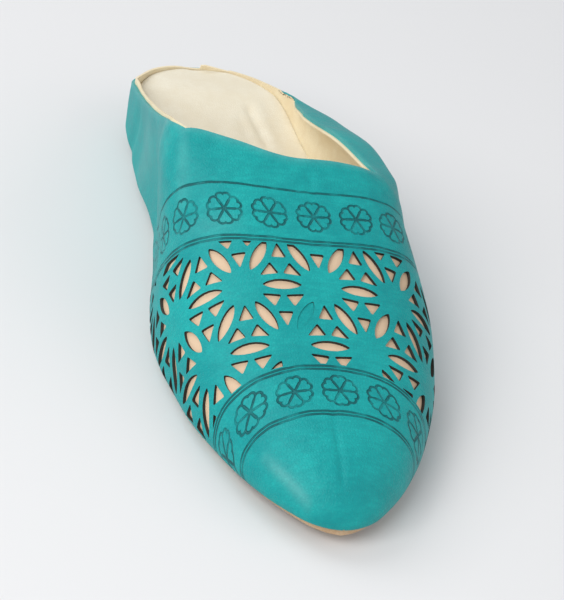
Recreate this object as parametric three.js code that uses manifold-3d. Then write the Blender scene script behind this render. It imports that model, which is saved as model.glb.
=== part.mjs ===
// Left babouche slipper in millimetres, +Z up, toe towards -Y, standing on its sole.
// A station is a distance from the toe tip along the sole. Lateral is +X, medial is -X.
import * as THREE from 'three';
import { mergeVertices } from 'three/addons/utils/BufferGeometryUtils.js';
import Module from 'manifold-3d';

const wasm = await Module();
wasm.setup();

// Driving sizes
const LENGTH = 265;
const BALL_WIDTH = 89;
const INSTEP_HEIGHT = 60;
const HEEL_COLLAR_HEIGHT = 21;
const SOLE_THICKNESS = 2.6;
const SOLE_EDGE = 1;
const WALL = 2;
const GAP = 0.3;
const BULGE_HEIGHT = 5;
const BULGE_SHARE = 0.12;
const FLARE_FROM = 12;
const FLARE_TO = 54;
const INFLARE = 4;
const CREST_BLEND = { vamp: 0.3, opening: 0.1, from: 126, to: 146 };
const OPENING = { throat: -30, heel: -20, corner: 33, end: 250 };

// Resolution of the lofts
const RINGS = 30;
const THROAT_RINGS = [122, 127, 131, 135, 139, 144, 150, 157, 164];
const ARC_STEPS = 15;

// Sections of the last. at: station as a share of LENGTH. width: share of BALL_WIDTH at the base.
// swing: centre line to the lateral side, share of INFLARE.
const SECTIONS = [
  { at: 0, width: 0, swing: 0 },
  { at: 0.015, width: 0.225, swing: 0.08 },
  { at: 0.038, width: 0.342, swing: 0.19 },
  { at: 0.083, width: 0.52, swing: 0.37 },
  { at: 0.151, width: 0.719, swing: 0.66 },
  { at: 0.245, width: 0.91, swing: 0.88 },
  { at: 0.351, width: 1, swing: 1 },
  { at: 0.445, width: 0.935, swing: 1 },
  { at: 0.483, width: 0.88, swing: 0.99 },
  { at: 0.53, width: 0.815, swing: 0.98 },
  { at: 0.66, width: 0.705, swing: 0.9 },
  { at: 0.774, width: 0.685, swing: 0.6 },
  { at: 0.853, width: 0.66, swing: 0.38 },
  { at: 0.898, width: 0.64, swing: 0.25 },
  { at: 0.922, width: 0.599, swing: 0.19 },
  { at: 0.966, width: 0.43, swing: 0.08 },
  { at: 1, width: 0, swing: 0 },
];

// Flanks of the sections. bulge: how far the wall stands past the base. flare: how much further it
// leans out at its top. crest: share of INSTEP_HEIGHT. square: exponent of the shoulder.
// upright: share of the height that is straight wall.
const MEDIAL_FLANK = [
  { at: 0, bulge: 4, flare: 0, crest: 0, square: 2.1, upright: 0 },
  { at: 0.015, bulge: 4, flare: 0, crest: 0.16, square: 2.1, upright: 0 },
  { at: 0.038, bulge: 4, flare: 0, crest: 0.26, square: 2.15, upright: 0 },
  { at: 0.083, bulge: 4, flare: 0, crest: 0.36, square: 2.2, upright: 0 },
  { at: 0.151, bulge: 4, flare: 0, crest: 0.455, square: 2.35, upright: 0 },
  { at: 0.245, bulge: 4, flare: 0, crest: 0.58, square: 2.7, upright: 0 },
  { at: 0.351, bulge: 4, flare: 0, crest: 0.75, square: 3.1, upright: 0 },
  { at: 0.445, bulge: 4, flare: 1.5, crest: 0.915, square: 4.4, upright: 0 },
  { at: 0.483, bulge: 4.2, flare: 3.2, crest: 1.005, square: 6, upright: 0 },
  { at: 0.53, bulge: 4.5, flare: 5.5, crest: 1.12, square: 8, upright: 0 },
  { at: 0.66, bulge: 5, flare: 6, crest: 1.22, square: 7, upright: 0 },
  { at: 0.774, bulge: 5, flare: 3, crest: 1.2, square: 6, upright: 0 },
  { at: 0.853, bulge: 4.4, flare: 1.4, crest: 1.12, square: 5.1, upright: 0 },
  { at: 0.898, bulge: 4, flare: 0.5, crest: 1.04, square: 4.5, upright: 0 },
  { at: 0.922, bulge: 4, flare: 0.2, crest: 0.98, square: 4.2, upright: 0 },
  { at: 0.966, bulge: 4, flare: 0, crest: 0.8, square: 3.5, upright: 0 },
  { at: 1, bulge: 4, flare: 0, crest: 0, square: 3, upright: 0 },
];

const LATERAL_FLANK = [
  { at: 0, bulge: 2.6, flare: 0, crest: 0, square: 2.1, upright: 0 },
  { at: 0.015, bulge: 2.6, flare: 0, crest: 0.16, square: 2.1, upright: 0 },
  { at: 0.038, bulge: 2.6, flare: 0, crest: 0.26, square: 2.15, upright: 0 },
  { at: 0.083, bulge: 2.6, flare: 0, crest: 0.36, square: 2.2, upright: 0 },
  { at: 0.151, bulge: 2.6, flare: 0, crest: 0.455, square: 2.35, upright: 0 },
  { at: 0.245, bulge: 2.6, flare: 0, crest: 0.58, square: 2.7, upright: 0 },
  { at: 0.351, bulge: 2.4, flare: 0, crest: 0.75, square: 3, upright: 0 },
  { at: 0.445, bulge: 2.2, flare: 0, crest: 0.91, square: 3.4, upright: 0.15 },
  { at: 0.483, bulge: 2.2, flare: 0, crest: 0.975, square: 2.9, upright: 0.5 },
  { at: 0.53, bulge: 3, flare: 1, crest: 0.9, square: 2.4, upright: 0.8 },
  { at: 0.66, bulge: 6.5, flare: 2.5, crest: 0.745, square: 2.2, upright: 0.86 },
  { at: 0.774, bulge: 7, flare: 2, crest: 0.59, square: 2.2, upright: 0.87 },
  { at: 0.853, bulge: 5.3, flare: 1.1, crest: 0.458, square: 2.3, upright: 0.92 },
  { at: 0.898, bulge: 4, flare: 0.5, crest: 0.395, square: 2.4, upright: 0.95 },
  { at: 0.922, bulge: 3.5, flare: 0.3, crest: 0.37, square: 2.5, upright: 0.97 },
  { at: 0.966, bulge: 3, flare: 0, crest: 0.6, square: 2.8, upright: 0.95 },
  { at: 1, bulge: 3, flare: 0, crest: 0, square: 3, upright: 0.95 },
];

// Lift of the sole off the floor: toe spring, flat ball, arch, flat heel.
const LIFT = [
  { at: 0, lift: 5 },
  { at: 0.06, lift: 2.8 },
  { at: 0.13, lift: 1 },
  { at: 0.22, lift: 0 },
  { at: 0.48, lift: 0 },
  { at: 0.62, lift: 1.6 },
  { at: 0.75, lift: 0 },
  { at: 1, lift: 0 },
];

// Topline around the heel in the side view. at: station. rise: height over the floor.
const HEEL_TOPLINE = [
  { at: 244, rise: HEEL_COLLAR_HEIGHT + 3.3 },
  { at: 256, rise: HEEL_COLLAR_HEIGHT + 1.2 },
  { at: LENGTH + 8, rise: HEEL_COLLAR_HEIGHT },
];

// Topline of the medial flank in the side view, with the same columns.
const MEDIAL_TOPLINE = [
  { at: 120, rise: 67 },
  { at: 138, rise: 66 },
  { at: 150, rise: 62 },
  { at: 168, rise: 53.5 },
  { at: 200, rise: 39.5 },
  { at: 220, rise: 31.6 },
  { at: 232, rise: 27.8 },
  ...HEEL_TOPLINE,
];

// Topline of the lateral flank, with the same columns: its rolled shoulder stays whole up to the heel.
const LATERAL_TOPLINE = [
  { at: 120, rise: 90 },
  { at: 222, rise: 40 },
  { at: 236, rise: 26.4 },
  ...HEEL_TOPLINE,
];

// Underside of the room that the rolled shoulder leaves open, with the same columns.
const SHOULDER_ROOM = [
  { at: 120, rise: 51 },
  { at: 150, rise: 46 },
  { at: 168, rise: 37.5 },
  { at: 185, rise: 31 },
  { at: 200, rise: 29 },
  { at: 215, rise: 26 },
  { at: 230, rise: 23.5 },
  { at: 240, rise: 22 },
  { at: 250, rise: 21.5 },
];

// Throat edge in the plan. across: place from medial to lateral. station: where the vamp ends.
const THROAT = [
  { across: -60, station: 146 },
  { across: -40, station: 140 },
  { across: -20, station: 133 },
  { across: 4, station: 128 },
  { across: 20, station: 129 },
  { across: 34, station: 132.5 },
  { across: 60, station: 140 },
];

// Edge of the lateral flank in the plan. at: station. across: where its shoulder ends.
const RIM = [
  { at: 110, across: 34 },
  { at: 128, across: 33.5 },
  { at: 150, across: 31 },
  { at: 180, across: 28 },
  { at: 204, across: 27 },
  { at: 214, across: 28.6 },
  { at: 226, across: 29.4 },
  { at: 236, across: 29.4 },
  { at: 242, across: 27.6 },
  { at: 250, across: 23.6 },
];

// Footbed top in the side view. at: station. rise: height over the floor.
const FOOTBED = [
  { at: -10, rise: 11 },
  { at: 20, rise: 8.2 },
  { at: 58, rise: 6 },
  { at: 115, rise: 6.8 },
  { at: 150, rise: 10.5 },
  { at: 180, rise: 11.3 },
  { at: 205, rise: 11.6 },
  { at: 220, rise: 13 },
  { at: 236, rise: 16.8 },
  { at: 248, rise: 20.4 },
  { at: LENGTH + 10, rise: HEEL_COLLAR_HEIGHT },
];

// Lattice of medallions: six leaves and six wedges around each centre, on a hexagonal net.
const LATTICE = {
  rowStation: 82,
  pitch: 26.5,
  rowPitch: 25,
  front: 50.5,
  back: 98.5,
  sideMargin: 2,
  leastArea: 7,
};
const LEAF = { inner: 6.9, outer: 19.6, halfWidth: 1.9 };
const WEDGE = { inner: 6.6, outer: 11.4, halfWidth: 2.1 };

const LEATHER = { color: 0x2aa8a6, roughness: 0.5, metalness: 0 };
const SOLE_LEATHER = { color: 0xc9a782, roughness: 0.6, metalness: 0 };
const CREAM = { color: 0xece2cb, roughness: 0.75, metalness: 0 };

/** Monotone cubic through the rows of a table. */
function monotone(xs, ys) {
  const count = xs.length;
  const chord = [];
  for (let i = 0; i < count - 1; i += 1) {
    chord.push((ys[i + 1] - ys[i]) / (xs[i + 1] - xs[i]));
  }
  const slope = [chord[0]];
  for (let i = 1; i < count - 1; i += 1) {
    const same = chord[i - 1] * chord[i] > 0;
    const before = xs[i] - xs[i - 1];
    const after = xs[i + 1] - xs[i];
    const weightA = 2 * after + before;
    const weightB = after + 2 * before;
    slope.push(same ? (weightA + weightB) / (weightA / chord[i - 1] + weightB / chord[i]) : 0);
  }
  slope.push(chord[count - 2]);
  return (x) => {
    let i = 0;
    while (i < count - 2 && x > xs[i + 1]) {
      i += 1;
    }
    const span = xs[i + 1] - xs[i];
    const t = Math.min(1, Math.max(0, (x - xs[i]) / span));
    const t2 = t * t;
    const t3 = t2 * t;
    const start = (2 * t3 - 3 * t2 + 1) * ys[i] + (t3 - 2 * t2 + t) * span * slope[i];
    return start + (3 * t2 - 2 * t3) * ys[i + 1] + (t3 - t2) * span * slope[i + 1];
  };
}

/** Curve of one column of a table whose stations are shares of LENGTH. */
function column(table, name, scale, power = 1) {
  const xs = table.map((row) => row.at * LENGTH);
  const ys = table.map((row) => (row[name] * scale) ** power);
  const curve = monotone(xs, ys);
  return power === 1 ? curve : (station) => Math.max(0, curve(station)) ** (1 / power);
}

const halfWidthAt = column(SECTIONS, 'width', BALL_WIDTH / 2, 2);
const swingAt = column(SECTIONS, 'swing', INFLARE);
const liftAt = column(LIFT, 'lift', 1);

/** Curves of one flank of the sections. */
function flankCurves(table) {
  return {
    bulge: column(table, 'bulge', 1),
    flare: column(table, 'flare', 1),
    crest: column(table, 'crest', INSTEP_HEIGHT, 2),
    square: column(table, 'square', 1),
    upright: column(table, 'upright', 1),
  };
}

const FLANKS = { medial: flankCurves(MEDIAL_FLANK), lateral: flankCurves(LATERAL_FLANK) };
const crestAt = FLANKS.medial.crest;

/** Point of the upper's outer face. side runs -1 medial base, 0 crest, +1 lateral base. */
function skin(station, side) {
  const half = Math.max(0.01, halfWidthAt(station));
  const flank = side < 0 ? FLANKS.medial : FLANKS.lateral;
  const opened = THREE.MathUtils.smoothstep(station, CREST_BLEND.from, CREST_BLEND.to);
  const blend = THREE.MathUtils.lerp(CREST_BLEND.vamp, CREST_BLEND.opening, opened);
  const share = THREE.MathUtils.smoothstep(side, 0, blend);
  const crest = crestAt(station) * (1 - share) + FLANKS.lateral.crest(station) * share;
  const taper = Math.min(1, half / 20);
  const bulge = flank.bulge(station) * taper;
  const turn = Math.min(BULGE_HEIGHT * taper, 0.35 * crest);
  const wall = flank.upright(station) * (crest - turn);
  const up = 1 - Math.abs(side);
  let reach;
  let rise;
  if (up < BULGE_SHARE) {
    const angle = (up / BULGE_SHARE) * (Math.PI / 2);
    reach = half + bulge * Math.sin(angle);
    rise = turn * (1 - Math.cos(angle));
  } else {
    const square = flank.square(station);
    const flat = 2 + 0.55 * (square - 2);
    const climb = (up - BULGE_SHARE) / (1 - BULGE_SHARE);
    const upright = wall / (half + crest - turn);
    const onWall = upright > 0 ? Math.min(1, climb / upright) : 1;
    const t = Math.max(0, (climb - upright) / (1 - upright));
    const fromSide = t ** (flat / 2);
    const fromCrest = (1 - t) ** (square / 2);
    const angle = (fromSide / (fromSide + fromCrest)) * (Math.PI / 2);
    reach = (half + bulge) * Math.max(0, Math.cos(angle)) ** (2 / square);
    rise = turn + onWall * wall + (crest - turn - wall) * Math.sin(angle) ** (2 / flat);
  }
  const lean = reach / (half + bulge);
  reach += flank.flare(station) * lean * THREE.MathUtils.smoothstep(rise, FLARE_FROM, FLARE_TO);
  const base = SOLE_THICKNESS + GAP + liftAt(station);
  return new THREE.Vector3(swingAt(station) + Math.sign(side) * reach, station, base + rise);
}

/** Outward normal of the upper. Below the bulge it keeps the bulge's level direction. */
function skinNormal(station, side) {
  const limit = 1 - BULGE_SHARE - 0.002;
  const held = Math.max(-limit, Math.min(limit, side));
  const stepA = Math.min(0.4, 0.4 * station, 0.4 * (LENGTH - station));
  const along = skin(station + stepA, held).sub(skin(station - stepA, held));
  const around = skin(station, held + 0.004).sub(skin(station, held - 0.004));
  return around.cross(along).normalize();
}

/** Point under the upper's outer face by a depth in the wall's own direction. */
function wallPoint(station, side, depth) {
  return skin(station, side).addScaledVector(skinNormal(station, side), -depth);
}

/** Solid from a closed, outward-facing list of corners and triangles. */
function solidOf(corners, triangles) {
  const vertProperties = new Float32Array(corners.length * 3);
  corners.forEach((corner, i) => corner.toArray(vertProperties, i * 3));
  const triVerts = new Uint32Array(triangles.flat());
  return new wasm.Manifold(new wasm.Mesh({ numProp: 3, vertProperties, triVerts }));
}

/** Solid of a three.js geometry. */
function solidFrom(geometry) {
  const bare = geometry.clone();
  bare.deleteAttribute('normal');
  bare.deleteAttribute('uv');
  const merged = mergeVertices(bare, 1e-5);
  const vertProperties = new Float32Array(merged.attributes.position.array);
  const triVerts = new Uint32Array(merged.index.array);
  return new wasm.Manifold(new wasm.Mesh({ numProp: 3, vertProperties, triVerts }));
}

/** Solid through closed rings of equal length, with a fan on each end. */
function loft(rings) {
  const around = rings[0].length;
  const corners = rings.flat();
  const triangles = [];
  for (let i = 0; i < rings.length - 1; i += 1) {
    for (let j = 0; j < around; j += 1) {
      const next = (j + 1) % around;
      const a = i * around + j;
      const b = i * around + next;
      const c = (i + 1) * around + j;
      const d = (i + 1) * around + next;
      triangles.push([a, b, c], [b, d, c]);
    }
  }
  const centre = (ring) => ring.reduce((sum, p) => sum.add(p), new THREE.Vector3()).divideScalar(around);
  corners.push(centre(rings[0]), centre(rings[rings.length - 1]));
  const last = (rings.length - 1) * around;
  for (let j = 0; j < around; j += 1) {
    const next = (j + 1) % around;
    triangles.push([corners.length - 2, next, j], [corners.length - 1, last + j, last + next]);
  }
  return solidOf(corners, triangles);
}

/** Stations with their spacing drawn in towards toe and heel. */
function stationsBetween(first, last, count) {
  const list = [];
  for (let i = 0; i <= count; i += 1) {
    const t = i / count;
    const eased = 0.5 - 0.5 * Math.cos(Math.PI * t);
    list.push(first + (last - first) * (0.35 * t + 0.65 * eased));
  }
  return list;
}

/** Sides from the medial base over the crest to the lateral base. */
function sidesOver() {
  const list = [];
  for (let j = 0; j <= ARC_STEPS; j += 1) {
    const t = j / ARC_STEPS;
    list.push(1 - 0.94 * t - 0.06 * (1 - (1 - t) ** 6));
  }
  const lateral = list.slice(0, -1);
  return [...lateral.map((s) => -s), 0, ...lateral.reverse()];
}

/** Form under the upper's face by a depth. floor: height where it closes below. */
function lastForm(depth, floor) {
  const sides = sidesOver();
  const even = stationsBetween(0.35, LENGTH - 0.35, RINGS);
  const [first, last] = [THROAT_RINGS[0] - 4, THROAT_RINGS[THROAT_RINGS.length - 1] + 4];
  const apart = even.filter((station) => station < first || station > last);
  const stations = [...apart, ...THROAT_RINGS].sort((a, b) => a - b);
  const rings = stations.map((station) => {
    const ring = sides.map((side) => wallPoint(station, side, depth));
    const ends = [ring[0], ring[ring.length - 1]];
    const [medial, lateral] = ends.map((p) => new THREE.Vector3(p.x, p.y, floor));
    return floor === null ? ring : [medial, ...ring, lateral];
  });
  return loft(rings);
}

/** Side-view outline of a table, closed at a level, extruded right across the shoe. */
function acrossForm(table, level, steps) {
  const first = table[0].at;
  const last = table[table.length - 1].at;
  const line = [];
  for (let i = 0; i <= steps; i += 1) {
    const station = first + ((last - first) * i) / steps;
    line.push(new THREE.Vector2(station, sideCurve(table, 'rise')(station)));
  }
  line.push(new THREE.Vector2(last, level), new THREE.Vector2(first, level));
  const shape = new THREE.Shape(line);
  const geometry = new THREE.ExtrudeGeometry(shape, { depth: 160, bevelEnabled: false });
  geometry.translate(0, 0, -80);
  const turn = new THREE.Matrix4().makeBasis(
    new THREE.Vector3(0, 1, 0),
    new THREE.Vector3(0, 0, 1),
    new THREE.Vector3(1, 0, 0),
  );
  geometry.applyMatrix4(turn);
  return solidFrom(geometry);
}

/** Outline in the plan, extruded right up through the shoe. */
function planForm(outline) {
  const geometry = new THREE.ExtrudeGeometry(new THREE.Shape(outline), { depth: 160, bevelEnabled: false });
  return solidFrom(geometry.translate(0, 0, -10));
}

/** Form of the foot opening: what lies over the toplines, and what the lateral shoulder leaves open. */
function openingForm() {
  const rimAt = monotone(RIM.map((row) => row.at), RIM.map((row) => row.across));
  const throatAt = monotone(THROAT.map((row) => row.across), THROAT.map((row) => row.station));
  const throat = (from, to) => {
    const steps = Math.ceil((to - from) / 3);
    return Array.from({ length: steps + 1 }, (_, i) => {
      const across = from + ((to - from) * i) / steps;
      return new THREE.Vector2(across, throatAt(across));
    });
  };
  const corner = rimAt(throatAt(OPENING.corner));
  const shoulder = throat(OPENING.throat, corner);
  for (let station = throatAt(corner) + 4; station < OPENING.end; station += 4) {
    shoulder.push(new THREE.Vector2(rimAt(station), station));
  }
  shoulder.push(new THREE.Vector2(rimAt(OPENING.end), OPENING.end));
  shoulder.push(new THREE.Vector2(OPENING.heel, OPENING.end));
  const behind = (from, to) => planForm([
    ...throat(from, to),
    new THREE.Vector2(to, LENGTH + 20),
    new THREE.Vector2(from, LENGTH + 20),
  ]);
  const medial = behind(-66, 0).intersect(acrossForm(MEDIAL_TOPLINE, 140, 34));
  const lateral = behind(-0.5, 66).intersect(acrossForm(LATERAL_TOPLINE, 140, 34));
  return planForm(shoulder).intersect(acrossForm(SHOULDER_ROOM, 140, 26)).add(medial).add(lateral);
}

/** Side-view curve of one column of a table whose stations are in millimetres. */
function sideCurve(table, name) {
  return monotone(table.map((row) => row.at), table.map((row) => row[name]));
}

/** Side of the point that lies an arc length across the section from the crest. */
function sideAcross(station, across) {
  const direction = Math.sign(across) || 1;
  let travelled = 0;
  let side = 0;
  let from = skin(station, 1e-6 * direction);
  while (side < 1 - BULGE_SHARE / 2) {
    const to = skin(station, (side + 0.01) * direction);
    const step = to.distanceTo(from);
    if (travelled + step >= Math.abs(across)) {
      return direction * (side + (0.01 * (Math.abs(across) - travelled)) / step);
    }
    travelled += step;
    side += 0.01;
    from = to;
  }
  return null;
}

/** Arc length of the crest from one station to the next, per millimetre of station. */
function crestStretch(station) {
  return Math.hypot(1, (crestAt(station + 1) - crestAt(station - 1)) / 2);
}

/** Station that lies an arc length along the crest from the upper row of medallions. */
function stationAlong(along) {
  const steps = 40;
  let station = LATTICE.rowStation;
  for (let i = 0; i < steps; i += 1) {
    station += along / steps / crestStretch(station);
  }
  return station;
}

/** Cutter through the wall from a convex outline in along and across arc lengths. */
function wallCutter(outline) {
  const spots = outline.map(({ along, across }) => {
    const station = stationAlong(along);
    return { station, side: sideAcross(station, across) };
  });
  const rings = [WALL + 1.6, -1.6].map((depth) => spots.map((s) => wallPoint(s.station, s.side, depth)));
  return loft(rings);
}

/** Corners of a leaf: a lens along its own axis, clipped to the lattice's field. */
function leafOutline(centre, angle) {
  const corners = [];
  const middle = (LEAF.inner + LEAF.outer) / 2;
  const halfLength = (LEAF.outer - LEAF.inner) / 2;
  for (let i = 0; i < 8; i += 1) {
    const t = (i / 8) * 2 * Math.PI;
    const lens = Math.sign(Math.sin(t)) * (1 - Math.cos(t) ** 2) ** 0.75;
    corners.push(spoke(centre, angle, middle + halfLength * Math.cos(t), LEAF.halfWidth * lens));
  }
  return corners;
}

/** Corners of a wedge with its point towards the medallion's centre. */
function wedgeOutline(centre, angle) {
  return [
    spoke(centre, angle, WEDGE.inner, -0.3),
    spoke(centre, angle, WEDGE.outer, -WEDGE.halfWidth),
    spoke(centre, angle, WEDGE.outer, WEDGE.halfWidth),
    spoke(centre, angle, WEDGE.inner, 0.3),
  ];
}

/** Point at a radius and offset along a spoke of a medallion. */
function spoke(centre, angle, radius, offset) {
  const across = centre.across + radius * Math.cos(angle) - offset * Math.sin(angle);
  const along = centre.along + radius * Math.sin(angle) + offset * Math.cos(angle);
  return { along, across };
}

/** Cut-outs of the whole net that lie in the field between the tooled bands. */
function latticeCutters() {
  const cutters = [];
  const lean = Math.atan2(LATTICE.rowPitch, LATTICE.pitch / 2);
  const leafAngles = [0, lean, Math.PI - lean];
  const wedgeAngles = [0, 1, 2, 3, 4, 5].map((k) => Math.PI / 6 + (k * Math.PI) / 3);
  for (let row = -2; row <= 1; row += 1) {
    for (let place = -4; place <= 4; place += 1) {
      const shift = row % 2 === 0 ? 0 : 0.5;
      const centre = { along: row * LATTICE.rowPitch, across: (place + shift) * LATTICE.pitch };
      const outlines = [
        ...leafAngles.map((angle) => leafOutline(centre, angle)),
        ...wedgeAngles.map((angle) => wedgeOutline(centre, angle)),
      ];
      outlines.map(clippedToField).filter(insideField).forEach((outline) => {
        cutters.push(wallCutter(outline));
      });
    }
  }
  return cutters;
}

/** Part of an outline that lies between the tooled bands. */
function clippedToField(outline) {
  const [front, back] = fieldLimits();
  return clipped(clipped(outline, (p) => p.along - front), (p) => back - p.along);
}

/** Arc lengths along the crest from the row of medallions to the two bands. */
function fieldLimits() {
  const reachOf = (station) => {
    let along = 0;
    const step = Math.sign(station - LATTICE.rowStation) / 2;
    for (let at = LATTICE.rowStation; Math.abs(at - station) > 0.25; at += step) {
      along += step * crestStretch(at);
    }
    return along;
  };
  return [reachOf(LATTICE.front), reachOf(LATTICE.back)];
}

/** Convex outline cut back to where a level is above zero. */
function clipped(outline, level) {
  const kept = [];
  outline.forEach((p, i) => {
    const q = outline[(i + 1) % outline.length];
    const [here, there] = [level(p), level(q)];
    if (here >= 0) {
      kept.push(p);
    }
    if (here * there < 0) {
      const t = here / (here - there);
      kept.push({ along: p.along + t * (q.along - p.along), across: p.across + t * (q.across - p.across) });
    }
  });
  return kept;
}

/** Area of an outline. */
function areaOf(outline) {
  const twice = outline.reduce((sum, p, i) => {
    const q = outline[(i + 1) % outline.length];
    return sum + p.across * q.along - q.across * p.along;
  }, 0);
  return Math.abs(twice) / 2;
}

/** Whether a cut-out is large enough and clear of the sole edge. */
function insideField(outline) {
  if (outline.length < 3 || areaOf(outline) < LATTICE.leastArea) {
    return false;
  }
  return outline.every(({ along, across }) => {
    const station = stationAlong(along);
    const side = sideAcross(station, across);
    if (side === null) {
      return false;
    }
    const edge = Math.sign(across || 1) * (1 - BULGE_SHARE);
    return skin(station, side).distanceTo(skin(station, edge)) > LATTICE.sideMargin;
  });
}

/** Flat leather sole: the last's outline drawn in under the upper, with a small rounded edge. */
function soleForm() {
  const round = 0.6;
  const shrink = 1 - (2 * SOLE_EDGE) / LENGTH;
  const rings = stationsBetween(0.25, LENGTH - 0.25, RINGS + 4).map((station) => {
    const half = halfWidthAt(station) - SOLE_EDGE * Math.min(1, halfWidthAt(station) / 8);
    const inner = Math.max(0.3 * half, half - round);
    const bottom = liftAt(station);
    const top = bottom + SOLE_THICKNESS;
    const along = LENGTH / 2 + (station - LENGTH / 2) * shrink;
    const profile = [
      [-inner, bottom],
      [-half, bottom + round],
      [-half, top - round],
      [-inner, top],
      [inner, top],
      [half, top - round],
      [half, bottom + round],
      [inner, bottom],
    ];
    return profile.map(([x, z]) => new THREE.Vector3(swingAt(station) + x, along, z));
  });
  return loft(rings);
}

/** Hollow upper: last form less its inside, the collar's opening and the lattice. */
function upperForm() {
  const opening = openingForm();
  let form = lastForm(0, null).subtract(lastForm(WALL, -12)).subtract(opening);
  latticeCutters().forEach((cutter) => {
    form = form.subtract(cutter);
  });
  return form;
}

/** Footbed: what lies inside the wall, under the footbed's top line. */
function insoleForm() {
  return lastForm(WALL + GAP, null).intersect(acrossForm(FOOTBED, -20, 30));
}

/** Named mesh of a solid with its own finish. */
function meshOf(name, form, finish) {
  const { vertProperties, triVerts } = form.getMesh();
  const geometry = new THREE.BufferGeometry();
  geometry.setAttribute('position', new THREE.BufferAttribute(new Float32Array(vertProperties), 3));
  geometry.setIndex(new THREE.BufferAttribute(new Uint32Array(triVerts), 1));
  geometry.computeVertexNormals();
  const mesh = new THREE.Mesh(geometry, new THREE.MeshStandardMaterial(finish));
  mesh.name = name;
  return mesh;
}

const slipper = new THREE.Group();
slipper.add(meshOf('outsole', soleForm(), SOLE_LEATHER));
slipper.add(meshOf('upper', upperForm(), LEATHER));
slipper.add(meshOf('insole', insoleForm(), CREAM));

// Stand the slipper over the origin: middle of its plan, floor at zero.
const box = new THREE.Box3().setFromObject(slipper);
const middle = box.getCenter(new THREE.Vector3());
slipper.position.set(-middle.x, -middle.y, 0);
slipper.updateMatrixWorld(true);

export default slipper;
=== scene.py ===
"""Left babouche slipper of turquoise leather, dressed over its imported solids.

Sizes inside the classes are millimetres in the shoe's own plan: x to the lateral side,
y from the toe tip to the heel, z up from the floor. A station is a distance from the toe tip.
A side runs from -1 at the medial base over 0 on the crest to +1 at the lateral base.
Finished meshes are metres in the row frame.
"""
import logging
import math
from dataclasses import dataclass
from enum import Enum
from typing import NamedTuple, Optional, Sequence

import bmesh
import bpy
import numpy as np
from mathutils import Matrix, Vector


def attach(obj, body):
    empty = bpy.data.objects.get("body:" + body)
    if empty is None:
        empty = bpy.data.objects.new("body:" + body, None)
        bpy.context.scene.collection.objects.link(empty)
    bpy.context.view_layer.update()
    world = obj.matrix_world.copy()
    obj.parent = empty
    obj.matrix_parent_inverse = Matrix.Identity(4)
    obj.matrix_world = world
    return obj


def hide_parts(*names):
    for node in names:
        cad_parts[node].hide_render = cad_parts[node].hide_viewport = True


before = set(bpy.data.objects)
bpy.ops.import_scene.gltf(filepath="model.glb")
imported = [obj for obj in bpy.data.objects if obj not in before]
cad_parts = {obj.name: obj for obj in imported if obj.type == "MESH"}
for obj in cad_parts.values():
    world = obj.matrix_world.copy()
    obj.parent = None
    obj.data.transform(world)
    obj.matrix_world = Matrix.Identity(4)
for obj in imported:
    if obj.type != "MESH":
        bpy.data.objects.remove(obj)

log = logging.getLogger("babouche")

Point = tuple[float, float]
Pairs = Sequence[Point]
Colour = tuple[float, float, float]

# Vertices nearer than this are joined, in millimetres.
WELD = 0.002
# Least share of a flank, which still tells one flank from the other.
LEAST_SHARE = 1e-9


class Slot(Enum):
    """Material slots of the part."""

    SOLE = "sole_leather"
    TURQUOISE = "turquoise_leather"
    CREAM = "cream_leather"


class Flank(Enum):
    """The two flanks of the shoe, with the sign of their side."""

    MEDIAL = -1
    LATERAL = 1


class SmoothLine:
    """Monotone cubic line through a few (place, value) pairs."""

    def __init__(self, pairs: Pairs, power: float = 1.0) -> None:
        """Prepares the slopes.

        Args:
            pairs: Places in rising order with their values.
            power: Power in which the values are blended; 2 gives round ends.
        """
        self.power = power
        self.places = np.array([place for place, _ in pairs], dtype=float)
        self.values = np.array([value for _, value in pairs], dtype=float) ** power
        gaps = np.diff(self.places)
        chords = np.diff(self.values) / gaps
        inner = np.zeros(len(chords) - 1)
        for i in range(len(inner)):
            if chords[i] * chords[i + 1] > 0:
                first = 2 * gaps[i + 1] + gaps[i]
                second = gaps[i + 1] + 2 * gaps[i]
                inner[i] = (first + second) / (first / chords[i] + second / chords[i + 1])
        self.slopes = np.concatenate(([chords[0]], inner, [chords[-1]]))

    def __call__(self, at: np.ndarray) -> np.ndarray:
        """Values of the line.

        Args:
            at: Places.

        Returns:
            One value for each place, held at the ends.
        """
        at = np.asarray(at, dtype=float)
        i = np.clip(np.searchsorted(self.places, at) - 1, 0, len(self.places) - 2)
        span = self.places[i + 1] - self.places[i]
        t = np.clip((at - self.places[i]) / span, 0, 1)
        start = (2 * t**3 - 3 * t**2 + 1) * self.values[i] + (t**3 - 2 * t**2 + t) * span * self.slopes[i]
        value = start + (3 * t**2 - 2 * t**3) * self.values[i + 1]
        value = value + (t**3 - t**2) * span * self.slopes[i + 1]
        return value if self.power == 1 else np.maximum(value, 0) ** (1 / self.power)


def smoothstep(value: np.ndarray, low: float, high: float) -> np.ndarray:
    """Soft step from 0 at low to 1 at high."""
    t = np.clip((np.asarray(value, dtype=float) - low) / (high - low), 0, 1)
    return t * t * (3 - 2 * t)


def beside_run(points: np.ndarray, start: np.ndarray, end: np.ndarray) -> tuple[np.ndarray, np.ndarray]:
    """Where points lie beside a straight run.

    Args:
        points: Points in a plane.
        start: Start of the run.
        end: End of the run.

    Returns:
        Shares along the run, not held at its ends, and distances from it.
    """
    run = end - start
    share = ((points - start) @ run) / max(1e-9, run @ run)
    foot = start + np.clip(share, 0, 1)[:, None] * run
    return share, np.linalg.norm(points - foot, axis=-1)


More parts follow.
